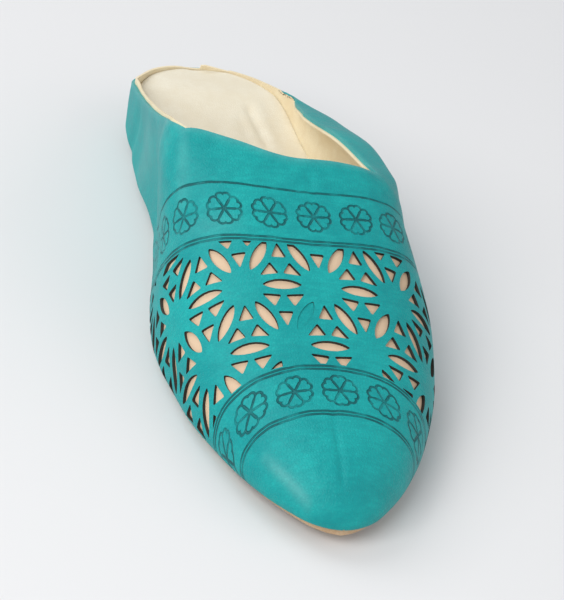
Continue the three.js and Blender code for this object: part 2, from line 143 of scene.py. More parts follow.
class Section(NamedTuple):
    """Section of the last, in shares of its length, ball width, inflare and instep.

    Bulges and flares are millimetres, squares are the powers that round the shoulders, and the
    lateral wall is the share of the flank that stands upright.
    """

    station: float
    width: float
    swing: float
    crest: float
    square: float
    medial_bulge: float
    medial_flare: float
    lateral_bulge: float
    lateral_flare: float
    lateral_crest: float
    lateral_square: float
    lateral_wall: float


SECTIONS: tuple[Section, ...] = (
    Section(0, 0, 0, 0, 2.1, 4, 0, 2.6, 0, 0, 2.1, 0),
    Section(0.015, 0.225, 0.08, 0.16, 2.1, 4, 0, 2.6, 0, 0.16, 2.1, 0),
    Section(0.038, 0.342, 0.19, 0.26, 2.15, 4, 0, 2.6, 0, 0.26, 2.15, 0),
    Section(0.083, 0.52, 0.37, 0.36, 2.2, 4, 0, 2.6, 0, 0.36, 2.2, 0),
    Section(0.151, 0.719, 0.66, 0.455, 2.35, 4, 0, 2.6, 0, 0.455, 2.35, 0),
    Section(0.245, 0.91, 0.88, 0.58, 2.7, 4, 0, 2.6, 0, 0.58, 2.7, 0),
    Section(0.351, 1, 1, 0.75, 3.1, 4, 0, 2.4, 0, 0.75, 3.0, 0),
    Section(0.445, 0.935, 1, 0.915, 4.4, 4, 1.5, 2.2, 0, 0.91, 3.4, 0.15),
    Section(0.483, 0.88, 0.99, 1.005, 6, 4.2, 3.2, 2.2, 0, 0.975, 2.9, 0.5),
    Section(0.53, 0.815, 0.98, 1.12, 8, 4.5, 5.5, 3, 1, 0.9, 2.4, 0.8),
    Section(0.66, 0.705, 0.9, 1.22, 7, 5, 6, 6.5, 2.5, 0.745, 2.2, 0.86),
    Section(0.774, 0.685, 0.6, 1.2, 6, 5, 3, 7, 2, 0.59, 2.2, 0.87),
    Section(0.853, 0.66, 0.38, 1.12, 5.1, 4.4, 1.4, 5.3, 1.1, 0.458, 2.3, 0.92),
    Section(0.898, 0.64, 0.25, 1.04, 4.5, 4, 0.5, 4, 0.5, 0.395, 2.4, 0.95),
    Section(0.922, 0.599, 0.19, 0.98, 4.2, 4, 0.2, 3.5, 0.3, 0.37, 2.5, 0.97),
    Section(0.966, 0.43, 0.08, 0.8, 3.5, 4, 0, 3, 0, 0.6, 2.8, 0.95),
    Section(1, 0, 0, 0, 3, 4, 0, 3, 0, 0, 3, 0.95),
)


@dataclass(frozen=True)
class Crease:
    """Soft trough or ridge along a straight run over the leather.

    Ends are (station, side) on the upper and (x, station) on the seat.
    Width is the half width of the run, height is outward.
    """

    start: Point
    end: Point
    width: float
    height: float

    def rise(self, away: np.ndarray) -> np.ndarray:
        """Outward rise at distances from the run."""
        return self.height * np.exp(-((away / self.width) ** 2))


# Folds and swells of the worn leather.
CREASES: tuple[Crease, ...] = (
    Crease((148, -0.62), (163, -0.86), 7.0, -1.6),
    Crease((182, -0.66), (196, -0.92), 9.0, 0.9),
    Crease((150, -0.5), (141, -0.78), 3.5, 0.9),
    Crease((214, -0.7), (222, -0.95), 6.0, -1.1),
    Crease((240, -0.6), (246, -0.9), 6.0, 0.8),
    Crease((126, -0.34), (150, -0.46), 6.0, -1.0),
    Crease((141, -0.47), (118, -0.5), 3.0, 0.6),
    Crease((6, -0.07), (34, -0.05), 1.1, -0.45),
    Crease((112, 0.03), (125, 0.02), 1.4, -0.45),
    Crease((5, -0.59), (22, -0.61), 1.7, 0.9),
    Crease((150, 0.62), (172, 0.86), 7.0, -0.9),
    Crease((178, 0.7), (196, 0.9), 8.0, 0.8),
    Crease((206, 0.7), (214, 0.95), 5.0, -0.8),
    Crease((118, 0.55), (134, 0.8), 5.0, -0.5),
    Crease((62, -0.8), (78, -0.86), 5.0, -0.5),
    Crease((70, 0.84), (92, 0.82), 5.0, -0.4),
    Crease((104, -0.3), (110, -0.55), 4.0, 0.35),
    Crease((55, 0.3), (64, 0.62), 5.0, -0.3),
)


@dataclass
class Last:
    """Form of the shoe: a loft of sections from toe to heel.

    Pairs are (station, height) for the two collars and the floor of the room over the seat,
    (station, x) for its rim and its medial side, (share of the length, height) for the lift off
    the floor and (x, station) for the throat line.
    """

    length: float = 265.0
    ball_width: float = 89.0
    instep: float = 60.0
    inflare: float = 4.0
    sole: float = 2.6
    sole_edge: float = 1.0
    gap: float = 0.3
    bulge_height: float = 5.0
    bulge_share: float = 0.12
    turn_share: float = 0.35
    flat_share: float = 0.55
    taper_width: float = 20.0
    flare: Point = (12.0, 54.0)
    throat: float = 128.0
    row_station: float = 82.0
    crest_blend: Point = (0.3, 0.1)
    opened: Point = (126.0, 146.0)
    middle: Point = (3.183, 132.5)
    crease_fade: float = 0.35
    probe: float = 0.4
    side_probe: float = 0.004
    normal_tip: float = 0.004
    table_tip: float = 0.003
    table_rows: int = 420
    table_shares: int = 161
    halvings: int = 26
    lift_pairs: Pairs = (
        (0, 5), (0.06, 2.8), (0.13, 1), (0.22, 0), (0.48, 0), (0.62, 1.6), (0.75, 0), (1, 0),
    )
    collar_pairs: Pairs = (
        (120, 67), (138, 66), (150, 62), (168, 53.5), (200, 39.5), (220, 31.6), (232, 27.8),
        (244, 24.3), (256, 22.2), (273, 21),
    )
    lateral_pairs: Pairs = ((120, 90), (222, 40), (236, 26.4), (244, 24.3), (256, 22.2), (273, 21))
    room_pairs: Pairs = (
        (120, 51), (150, 46), (168, 37.5), (185, 31), (200, 29), (215, 26), (230, 23.5), (240, 22),
        (250, 21.5),
    )
    room_medial: Pairs = ((136, -30), (250, -20))
    rim_pairs: Pairs = (
        (110, 34), (128, 33.5), (150, 31), (180, 28), (204, 27), (214, 28.6), (226, 29.4), (236, 29.4),
        (242, 27.6), (250, 23.6),
    )
    throat_pairs: Pairs = ((-60, 146), (-40, 140), (-20, 133), (4, 128), (20, 129), (34, 132.5), (60, 140))

    def __post_init__(self) -> None:
        """Prepares the lines of the sections and the tables of arc lengths."""
        def line(measure: str, scale: float = 1.0, power: float = 1.0) -> SmoothLine:
            """Line of one measure of the sections."""
            pairs = [(one.station * self.length, getattr(one, measure) * scale) for one in SECTIONS]
            return SmoothLine(pairs, power)

        self.half_width = line("width", self.ball_width / 2, 2)
        self.swing = line("swing", self.inflare)
        self.crest = line("crest", self.instep, 2)
        self.square = line("square")
        self.bulges = {Flank.MEDIAL: line("medial_bulge"), Flank.LATERAL: line("lateral_bulge")}
        self.flares = {Flank.MEDIAL: line("medial_flare"), Flank.LATERAL: line("lateral_flare")}
        self.lateral_crest = line("lateral_crest", self.instep, 2)
        self.lateral_square = line("lateral_square")
        self.lateral_wall = line("lateral_wall")
        self.rim = SmoothLine(self.rim_pairs)
        self.throat_line = SmoothLine(self.throat_pairs)
        self.lift = SmoothLine([(at * self.length, rise) for at, rise in self.lift_pairs])
        self.collar = SmoothLine(self.collar_pairs)
        self.lateral_collar = SmoothLine(self.lateral_pairs)
        self.room_floor = SmoothLine(self.room_pairs)
        self._measure()

    def skin(self, station: np.ndarray, side: np.ndarray) -> np.ndarray:
        """Points of the upper's outer face.

        Args:
            station: Distances from the toe tip.
            side: Sides, of the same shape.

        Returns:
            Points with x, y and z on the last axis.
        """
        station, side = np.broadcast_arrays(np.asarray(station, dtype=float), np.asarray(side, dtype=float))
        half = np.maximum(0.01, self.half_width(station))
        medial = side < 0
        opened = smoothstep(station, *self.opened)
        inward = smoothstep(side, 0.0, self.crest_blend[0] * (1 - opened) + self.crest_blend[1] * opened)
        crest = self.crest(station) * (1 - inward) + self.lateral_crest(station) * inward
        taper = np.minimum(1, half / self.taper_width)
        bulge = np.where(medial, self.bulges[Flank.MEDIAL](station), self.bulges[Flank.LATERAL](station))
        bulge = bulge * taper
        flare = np.where(medial, self.flares[Flank.MEDIAL](station), self.flares[Flank.LATERAL](station))
        square = np.where(medial, self.square(station), self.lateral_square(station))
        turn = np.minimum(self.bulge_height * taper, self.turn_share * crest)
        wall = np.where(medial, 0.0, self.lateral_wall(station)) * (crest - turn)
        up = 1 - np.abs(side)
        low = np.clip(up / self.bulge_share, 0, 1) * math.pi / 2
        flat = 2 + self.flat_share * (square - 2)
        t = np.clip((up - self.bulge_share) / (1 - self.bulge_share), 0, 1)
        upright = wall / (half + crest - turn)
        t_wall = np.clip(t / np.maximum(upright, 1e-9), 0, 1)
        t = np.clip((t - upright) / (1 - upright), 0, 1)
        from_side = t ** (flat / 2)
        angle = from_side / (from_side + (1 - t) ** (square / 2)) * math.pi / 2
        high_reach = (half + bulge) * np.maximum(0, np.cos(angle)) ** (2 / square)
        rounded = (crest - turn - wall) * np.maximum(0, np.sin(angle)) ** (2 / flat)
        high_rise = turn + t_wall * wall + rounded
        below = up < self.bulge_share
        reach = np.where(below, half + bulge * np.sin(low), high_reach)
        rise = np.where(below, turn * (1 - np.cos(low)), high_rise)
        reach = reach + flare * reach / (half + bulge) * smoothstep(rise, *self.flare)
        z = self.sole + self.gap + self.lift(station) + rise
        return np.stack((self.swing(station) + np.sign(side) * reach, station, z), axis=-1)

    def normal(self, station: np.ndarray, side: np.ndarray) -> np.ndarray:
        """Outward directions of the upper, level below the bulge.

        Args:
            station: Distances from the toe tip.
            side: Sides, of the same shape.

        Returns:
            Unit vectors.
        """
        limit = 1 - self.bulge_share - self.side_probe / 2
        held = np.clip(side, -limit, limit)
        station = np.clip(station, self.normal_tip, self.length - self.normal_tip)
        step = self.probe * np.minimum(1, np.minimum(station, self.length - station))
        along = self.skin(station + step, held) - self.skin(station - step, held)
        around = self.skin(station, held + self.side_probe) - self.skin(station, held - self.side_probe)
        across = np.cross(around, along)
        return across / np.maximum(1e-12, np.linalg.norm(across, axis=-1, keepdims=True))

    def over_collar(self, points: np.ndarray) -> np.ndarray:
        """How far points lie over the topline.

        Args:
            points: Points of the shoe.

        Returns:
            Heights over the line; above zero is inside the opening.
        """
        x, y, z = points[..., 0], points[..., 1], points[..., 2]
        behind = y - self.throat_line(x)
        over = np.minimum(behind, z - np.where(x < 0, self.collar(y), self.lateral_collar(y)))
        stations, places = zip(*self.room_medial)
        inside = np.minimum(self.rim(y) - x, x - np.interp(y, stations, places))
        inside = np.minimum(inside, stations[-1] - y)
        room = np.minimum(np.minimum(behind, inside), z - self.room_floor(y))
        return np.maximum(over, room)

    def _measure(self) -> None:
        """Tables of arc lengths across each section and along the crest."""
        rows = 0.5 - 0.5 * np.cos(np.linspace(0, math.pi, self.table_rows))
        self.stations = np.clip(rows * self.length, self.table_tip, self.length - self.table_tip)
        self.shares = np.linspace(0, 1, self.table_shares)
        self.arcs = {}
        for flank in Flank:
            sides = np.maximum(self.shares, LEAST_SHARE) * flank.value
            points = self.skin(self.stations[:, None], sides[None, :])
            steps = np.linalg.norm(np.diff(points, axis=1), axis=-1)
            self.arcs[flank] = np.concatenate((np.zeros((len(rows), 1)), np.cumsum(steps, axis=1)), axis=1)
        crest = self.skin(self.stations, np.zeros(len(rows)))
        run = np.concatenate(([0], np.cumsum(np.linalg.norm(np.diff(crest, axis=0), axis=-1))))
        self.runs = run - np.interp(self.row_station, self.stations, run)

    def along(self, station: np.ndarray) -> np.ndarray:
        """Arc lengths along the crest from the upper row of medallions."""
        return np.interp(station, self.stations, self.runs)

    def station_along(self, along: np.ndarray) -> np.ndarray:
        """Stations of arc lengths along the crest."""
        return np.interp(along, self.runs, self.stations)

    def across(self, station: np.ndarray, side: np.ndarray) -> np.ndarray:
        """Arc lengths across the section from the crest, below zero on the medial flank.

        Args:
            station: Distances from the toe tip.
            side: Sides, of the same shape.

        Returns:
            Signed arc lengths.
        """
        row = np.interp(station, self.stations, np.arange(len(self.stations)))
        low = np.clip(row.astype(int), 0, len(self.stations) - 2)
        blend = row - low
        place = np.abs(side) * (len(self.shares) - 1)
        left = np.clip(place.astype(int), 0, len(self.shares) - 2)
        rest = place - left
        out = np.zeros(len(row))
        for flank in Flank:
            arcs = self.arcs[flank]
            first = arcs[low, left] * (1 - rest) + arcs[low, left + 1] * rest
            second = arcs[low + 1, left] * (1 - rest) + arcs[low + 1, left + 1] * rest
            chosen = (side < 0) == (flank is Flank.MEDIAL)
            out = np.where(chosen, flank.value * (first * (1 - blend) + second * blend), out)
        return out

    def side_across(self, station: np.ndarray, across: np.ndarray) -> np.ndarray:
        """Sides of points that lie an arc length across the section.

        Args:
            station: Distances from the toe tip.
            across: Signed arc lengths.

        Returns:
            Sides, held at the base.
        """
        low = np.zeros(len(station))
        high = np.ones(len(station))
        sign = np.where(across < 0, -1.0, 1.0)
        for _ in range(self.halvings):
            middle = (low + high) / 2
            short = np.abs(self.across(station, middle * sign)) < np.abs(across)
            low = np.where(short, middle, low)
            high = np.where(short, high, middle)
        return sign * (low + high) / 2

    def relief(self, flat: np.ndarray) -> np.ndarray:
        """Outward rise of the folds and swells.

        Args:
            flat: Points of the flat pattern, across and along.

        Returns:
            Rises.
        """
        out = np.zeros(len(flat))
        for crease in CREASES:
            ends = np.array((crease.start, crease.end))
            start, end = np.stack((self.across(ends[:, 0], ends[:, 1]), self.along(ends[:, 0])), axis=-1)
            share, away = beside_run(flat, start, end)
            into = smoothstep(share, -self.crease_fade, self.crease_fade)
            out_of = smoothstep(share, 1 - self.crease_fade, 1 + self.crease_fade)
            out += into * (1 - out_of) * crease.rise(away)
        return out

    def lasted(self, flat: np.ndarray) -> np.ndarray:
        """Points of the flat pattern drawn over the last.

        Args:
            flat: Points with across, along and height over the outer face.

        Returns:
            Points of the shoe.
        """
        station = self.station_along(flat[:, 1])
        side = self.side_across(station, flat[:, 0])
        rise = flat[:, 2] + self.relief(flat[:, :2])
        return self.skin(station, side) + self.normal(station, side) * rise[:, None]

    def metres(self, points: np.ndarray) -> np.ndarray:
        """Points of the shoe in metres of the row frame."""
        return (points - np.array((self.middle[0], self.middle[1], 0.0))) / 1000


class Workbench:
    """Turns finished bmeshes into placed, shaded pieces of the part."""

    def __init__(self, last: Last) -> None:
        """Keeps the last."""
        self.last = last

    @staticmethod
    def coordinates(bm: bmesh.types.BMesh) -> np.ndarray:
        """Places of all vertices."""
        return np.array([v.co[:] for v in bm.verts], dtype=float).reshape(-1, 3)

    @staticmethod
    def move(bm: bmesh.types.BMesh, places: np.ndarray) -> None:
        """Puts every vertex at its new place."""
        for vert, place in zip(bm.verts, places):
            vert.co = place

    @staticmethod
    def grid_places(bm: bmesh.types.BMesh, across: int, along: int) -> tuple[np.ndarray, np.ndarray]:
        """Column and row number of each vertex of a created grid.

        Args:
            bm: Mesh that holds nothing else.
            across: Cells in x.
            along: Cells in y.

        Returns:
            Numbers in x and numbers in y.
        """
        places = Workbench.coordinates(bm)
        return (
            np.rint((places[:, 0] + 1) / 2 * across).astype(int),
            np.rint((places[:, 1] + 1) / 2 * along).astype(int),
        )

    @staticmethod
    def piece(
        name: str,
        bm: bmesh.types.BMesh,
        finishes: Sequence[bpy.types.Material],
        slot: Slot,
        node: Optional[str] = None,
        sharp: float = 38.0,
    ) -> bpy.types.Object:
        """Makes an object of a finished mesh and binds it to the frame.

        Args:
            name: Name of the piece.
            bm: Finished mesh in metres; freed here.
            finishes: Materials in the order of the face numbers.
            slot: Slot of the record; not used.
            node: CAD node that the piece stands for.
            sharp: Angle in degrees above which an edge is drawn sharp.

        Returns:
            The piece.
        """
        mesh = bpy.data.meshes.new(name)
        bm.to_mesh(mesh)
        bm.free()
        for finish in finishes:
            mesh.materials.append(finish)
        mesh.shade_smooth()
        mesh.set_sharp_from_angle(angle=math.radians(sharp))
        made = bpy.data.objects.new(name, mesh)
        bpy.context.collection.objects.link(made)
        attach(made, "root")
        if node is not None:
            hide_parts(node)
        log.info("%s: %d faces", name, len(mesh.polygons))
        return made

    @staticmethod
    def cut(bm: bmesh.types.BMesh, cutter: bmesh.types.BMesh) -> bmesh.types.BMesh:
        """Takes a cutter out of a solid; the cut walls get face number 1.

        Args:
            bm: Solid; freed here.
            cutter: Closed cutters; freed here.

        Returns:
            What is left of the solid.
        """
        objects = []
        fills = [bpy.data.materials.new("face"), bpy.data.materials.new("wall")]
        for name, source, fill in (("solid", bm, fills[0]), ("cutter", cutter, fills[1])):
            mesh = bpy.data.meshes.new(name)
            source.to_mesh(mesh)
            source.free()
            mesh.materials.append(fill)
            made = bpy.data.objects.new(name, mesh)
            bpy.context.collection.objects.link(made)
            objects.append(made)
        boolean = objects[0].modifiers.new("cut", "BOOLEAN")
        boolean.operation = "DIFFERENCE"
        boolean.solver = "EXACT"
        boolean.material_mode = "TRANSFER"
        boolean.object = objects[1]
        done = objects[0].evaluated_get(bpy.context.evaluated_depsgraph_get())
        result = bmesh.new()
        result.from_mesh(done.to_mesh())
        done.to_mesh_clear()
        for made in objects:
            mesh = made.data
            bpy.data.objects.remove(made)
            bpy.data.meshes.remove(mesh)
        for fill in fills:
            bpy.data.materials.remove(fill)
        return result


@dataclass
class FlatPattern:
    """Flat pattern of the upper, cut out before it is drawn over the last.

    Lines are the columns of a flank. Rows lean with the throat line between the two leaning stations.
    The topline is smoothed between the two smoothed stations. Over the two heel-lifted stations the
    lining's edge gains the heel lift, a share of its rise, which it keeps up to the heel.
    """

    last: Last
    lines: int = 58
    throat_points: int = 61
    step: float = 1.6
    end_step: float = 0.02
    last_step: float = 0.8
    heel_zone: float = 6.0
    tail_rows: int = 10
    tried_stations: tuple[float, float, float] = (112.0, 190.0, 0.1)
    tried_corners: tuple[float, float, float] = (0.05, 0.9, 0.002)
    tried_shares: int = 1201
    leaning: Point = (45.0, 225.0)
    smoothed: Point = (205.0, 244.0)
    passes: int = 40
    heel_lift: float = 0.9
    heel_lifted: Point = (226.0, 238.0)

    def __post_init__(self) -> None:
        """Finds the throat line and the stations of the pattern's rows."""
        self.corner_shares = {flank: self._corner_share(flank) for flank in Flank}
        self.corners = {flank: round(self.lines * share) for flank, share in self.corner_shares.items()}
        ends = (-self.corner_shares[Flank.MEDIAL], self.corner_shares[Flank.LATERAL])
        self.throat_sides = np.linspace(*ends, self.throat_points)
        stations = np.array([self._throat_at(side) for side in self.throat_sides])
        self.throat_shift = stations - self.last.throat
        self.rows = self._rows()
        log.info("throat line ends at sides %.2f and %.2f", *ends)

    def _throat_at(self, side: float) -> float:
        """Station at which a side of the vamp crosses the throat line.

        Args:
            side: Side of the vamp.

        Returns:
            Station.
        """
        at = np.arange(*self.tried_stations)
        behind = at - self.last.throat_line(self.last.skin(at, np.full(len(at), side))[:, 0])
        first = int(np.argmax(behind > 0))
        return float(np.interp(0.0, behind[first - 1:first + 1], at[first - 1:first + 1]))

    def _corner_share(self, flank: Flank) -> float:
        """Share of a flank at which the throat line meets the topline.

        Args:
            flank: Flank of the shoe.

        Returns:
            Share from the crest to the base.
        """
        shares = np.arange(*self.tried_corners)
        stations = np.array([self._throat_at(share * flank.value) for share in shares])
        stations = stations + self.tried_stations[2]
        over = self.last.over_collar(self.last.skin(stations, shares * flank.value))
        return float(shares[np.argmax(over <= 0) - 1])

    def _grown(self, start: float, end: float) -> list[float]:
        """Distances from an end of the shoe, close together at first.

        Args:
            start: First distance.
            end: Distance that they stop before.

        Returns:
            Distances in rising order.
        """
        grown = [start]
        while grown[-1] < end - self.last_step * self.step:
            close = self.end_step + 2 * math.sqrt(self.end_step * grown[-1])
            grown.append(grown[-1] + min(self.step, close))
        return grown

    def _rows(self) -> np.ndarray:
        """Stations of the rows, drawn in towards toe and heel, with one on the throat line.

        Returns:
            Stations in rising order.
        """
        last = self.last
        toe = self._grown(0.0, last.throat)
        self.throat_row = len(toe)
        at = np.linspace(last.length - self.heel_zone, last.length, int(1000 * self.heel_zone))
        over = last.over_collar(last.skin(at, np.zeros(len(at))))
        closed = last.length - float(at[np.argmax(over < 0)])
        tail = closed * np.linspace(1, 0, self.tail_rows) ** 2
        behind = [last.length - rest for rest in self._grown(closed, last.length - last.throat)[::-1]]
        self.heel_row = self.throat_row + len(behind)
        return np.array(toe + [last.throat] + behind + [last.length - rest for rest in tail[1:]])

    def _station(self, row: np.ndarray, side: np.ndarray) -> np.ndarray:
        """Stations of the pattern's rows, which run along the throat line near it.

        Args:
            row: Rows as stations on the crest.
            side: Sides, of the same shape.

        Returns:
            Stations.
        """
        shift = np.interp(side, self.throat_sides, self.throat_shift)
        throat = self.last.throat
        start, end = self.leaning
        near = np.where(row <= throat, smoothstep(row, start, throat), 1 - smoothstep(row, throat, end))
        return np.clip(row + shift * near, 0, self.last.length)

    def _topline(self, flank: Flank, rise: float) -> np.ndarray:
        """Sides at which the rows behind the throat meet the topline.

        Args:
            flank: Flank of the shoe.
            rise: How far the edge stands into the opening.

        Returns:
            One share for each row, 0 where the heel is closed.
        """
        shares = np.linspace(1, 0, self.tried_shares)
        found = np.zeros(len(self.rows))
        for i in range(self.throat_row, len(self.rows)):
            sides = np.maximum(shares, LEAST_SHARE) * flank.value
            at = self._station(np.full(len(shares), self.rows[i]), sides)
            over = self.last.over_collar(self.last.skin(at, sides))
            first = int(np.argmax(over > 0))
            if first > 0:
                share = over[first - 1] / (over[first - 1] - over[first])
                found[i] = shares[first - 1] + share * (shares[first] - shares[first - 1])
        soft = np.flatnonzero((self.rows > self.smoothed[0]) & (self.rows < self.smoothed[1]))
        for _ in range(self.passes):
            found[soft] = (found[soft - 1] + 2 * found[soft] + found[soft + 1]) / 4
        base = np.abs(self.last.across(self.rows, np.full(len(self.rows), float(flank.value))))
        lift = rise * (1 + self.heel_lift * smoothstep(self.rows, *self.heel_lifted))
        return np.maximum(0, found - lift / np.maximum(base, 1))

    def sheet(self, rise: float = 0.0) -> bmesh.types.BMesh:
        """Flat sheet of the upper with its opening, outer face up.

        Args:
            rise: How much higher the edge behind the throat stands than the topline.

        Returns:
            Sheet with across, along and zero as its places.
        """
        bm = bmesh.new()
        across, along = 2 * self.lines, len(self.rows) - 1
        bmesh.ops.create_grid(bm, x_segments=across, y_segments=along, size=1)
        column, row = Workbench.grid_places(bm, across, along)
        number = column - self.lines
        side = np.zeros(len(row))
        inside = np.zeros(len(row), dtype=bool)
        for flank in Flank:
            edge, corner = self._topline(flank, rise), self.corners[flank]
            reach = number * flank.value
            inner = self.corner_shares[flank] * np.clip(reach / corner, 0, 1)
            inner = np.where(row > self.throat_row, edge[row], inner)
            outer = inner + (1 - inner) * np.clip((reach - corner) / (self.lines - corner), 0, 1)
            side = np.where(reach > 0, outer * flank.value, side)
            inside |= (reach >= 0) & (reach <= corner) & (row >= self.throat_row)
        station = self._station(self.rows[row], side)
        lift = np.where(row == self.throat_row, rise, np.where(row == self.heel_row, -rise, 0)) * inside
        crest = self.last.along(station) + lift
        flat = np.stack((self.last.across(station, side), crest, 0 * side), axis=-1)
        gone = [face for face in bm.faces if all(inside[v.index] for v in face.verts)]
        Workbench.move(bm, flat)
        bmesh.ops.delete(bm, geom=gone, context="FACES")
        bmesh.ops.remove_doubles(bm, verts=bm.verts[:], dist=WELD)
        bmesh.ops.recalc_face_normals(bm, faces=bm.faces[:])
        bm.normal_update()
        if sum(face.normal.z for face in bm.faces) < 0:
            bmesh.ops.reverse_faces(bm, faces=bm.faces[:])
        return bm

    @staticmethod
    def thicken(bm: bmesh.types.BMesh, top: float, bottom: float, round_off: float) -> None:
        """Gives a flat sheet its thickness and rounds its outer edges.

        Args:
            bm: Flat sheet, outer face up.
            top: Height of the outer face.
            bottom: Height of the inner face.
            round_off: Radius of the edges of the outer face.
        """
        lower = bmesh.ops.extrude_face_region(bm, geom=bm.faces[:], use_keep_orig=True)["geom"]
        under = {item for item in lower if isinstance(item, bmesh.types.BMVert)}
        for vert in bm.verts:
            vert.co.z = bottom if vert in under else top
        bmesh.ops.recalc_face_normals(bm, faces=bm.faces[:])
        edges = [
            edge
            for edge in bm.edges
            if all(v.co.z > (top + bottom) / 2 for v in edge.verts)
            and any(abs(face.normal.z) < 0.5 for face in edge.link_faces)
        ]
        bmesh.ops.bevel(
            bm, geom=edges, offset=round_off, affect="EDGES", segments=2, profile=0.5, material=-1,
            clamp_overlap=True,
        )


@dataclass(frozen=True)
class Band:
    """Pressed band across the vamp: its lines and its row of rosettes.

    Places are arc lengths along the crest. Drawn over the last, a line shifts along the crest
    by slope times the arc length across plus bow times its square.
    """

    slope: float
    bow: float
    lines: tuple[float, ...]
    row: float
    pitch: float
    start: float

    def shift(self, across: float) -> float:
        """Shift of the band along the crest."""
        return self.slope * across + self.bow * across**2


UPPER_BAND = Band(-0.034, 0.0034, (15.3, 16.6, 36.7), 26.8, 15.2, 1.2)
LOWER_BAND = Band(-0.07, -0.0056, (-33.6, -34.9, -51.8, -53.1), -43.3, 15.0, 0.9)


class Shape(Enum):
    """The two cut-outs of the lattice: inner end, outer end and half width round a centre."""

    LEAF = (6.7, 19.8, 2.0)
    WEDGE = (7.1, 13.0, 2.6)


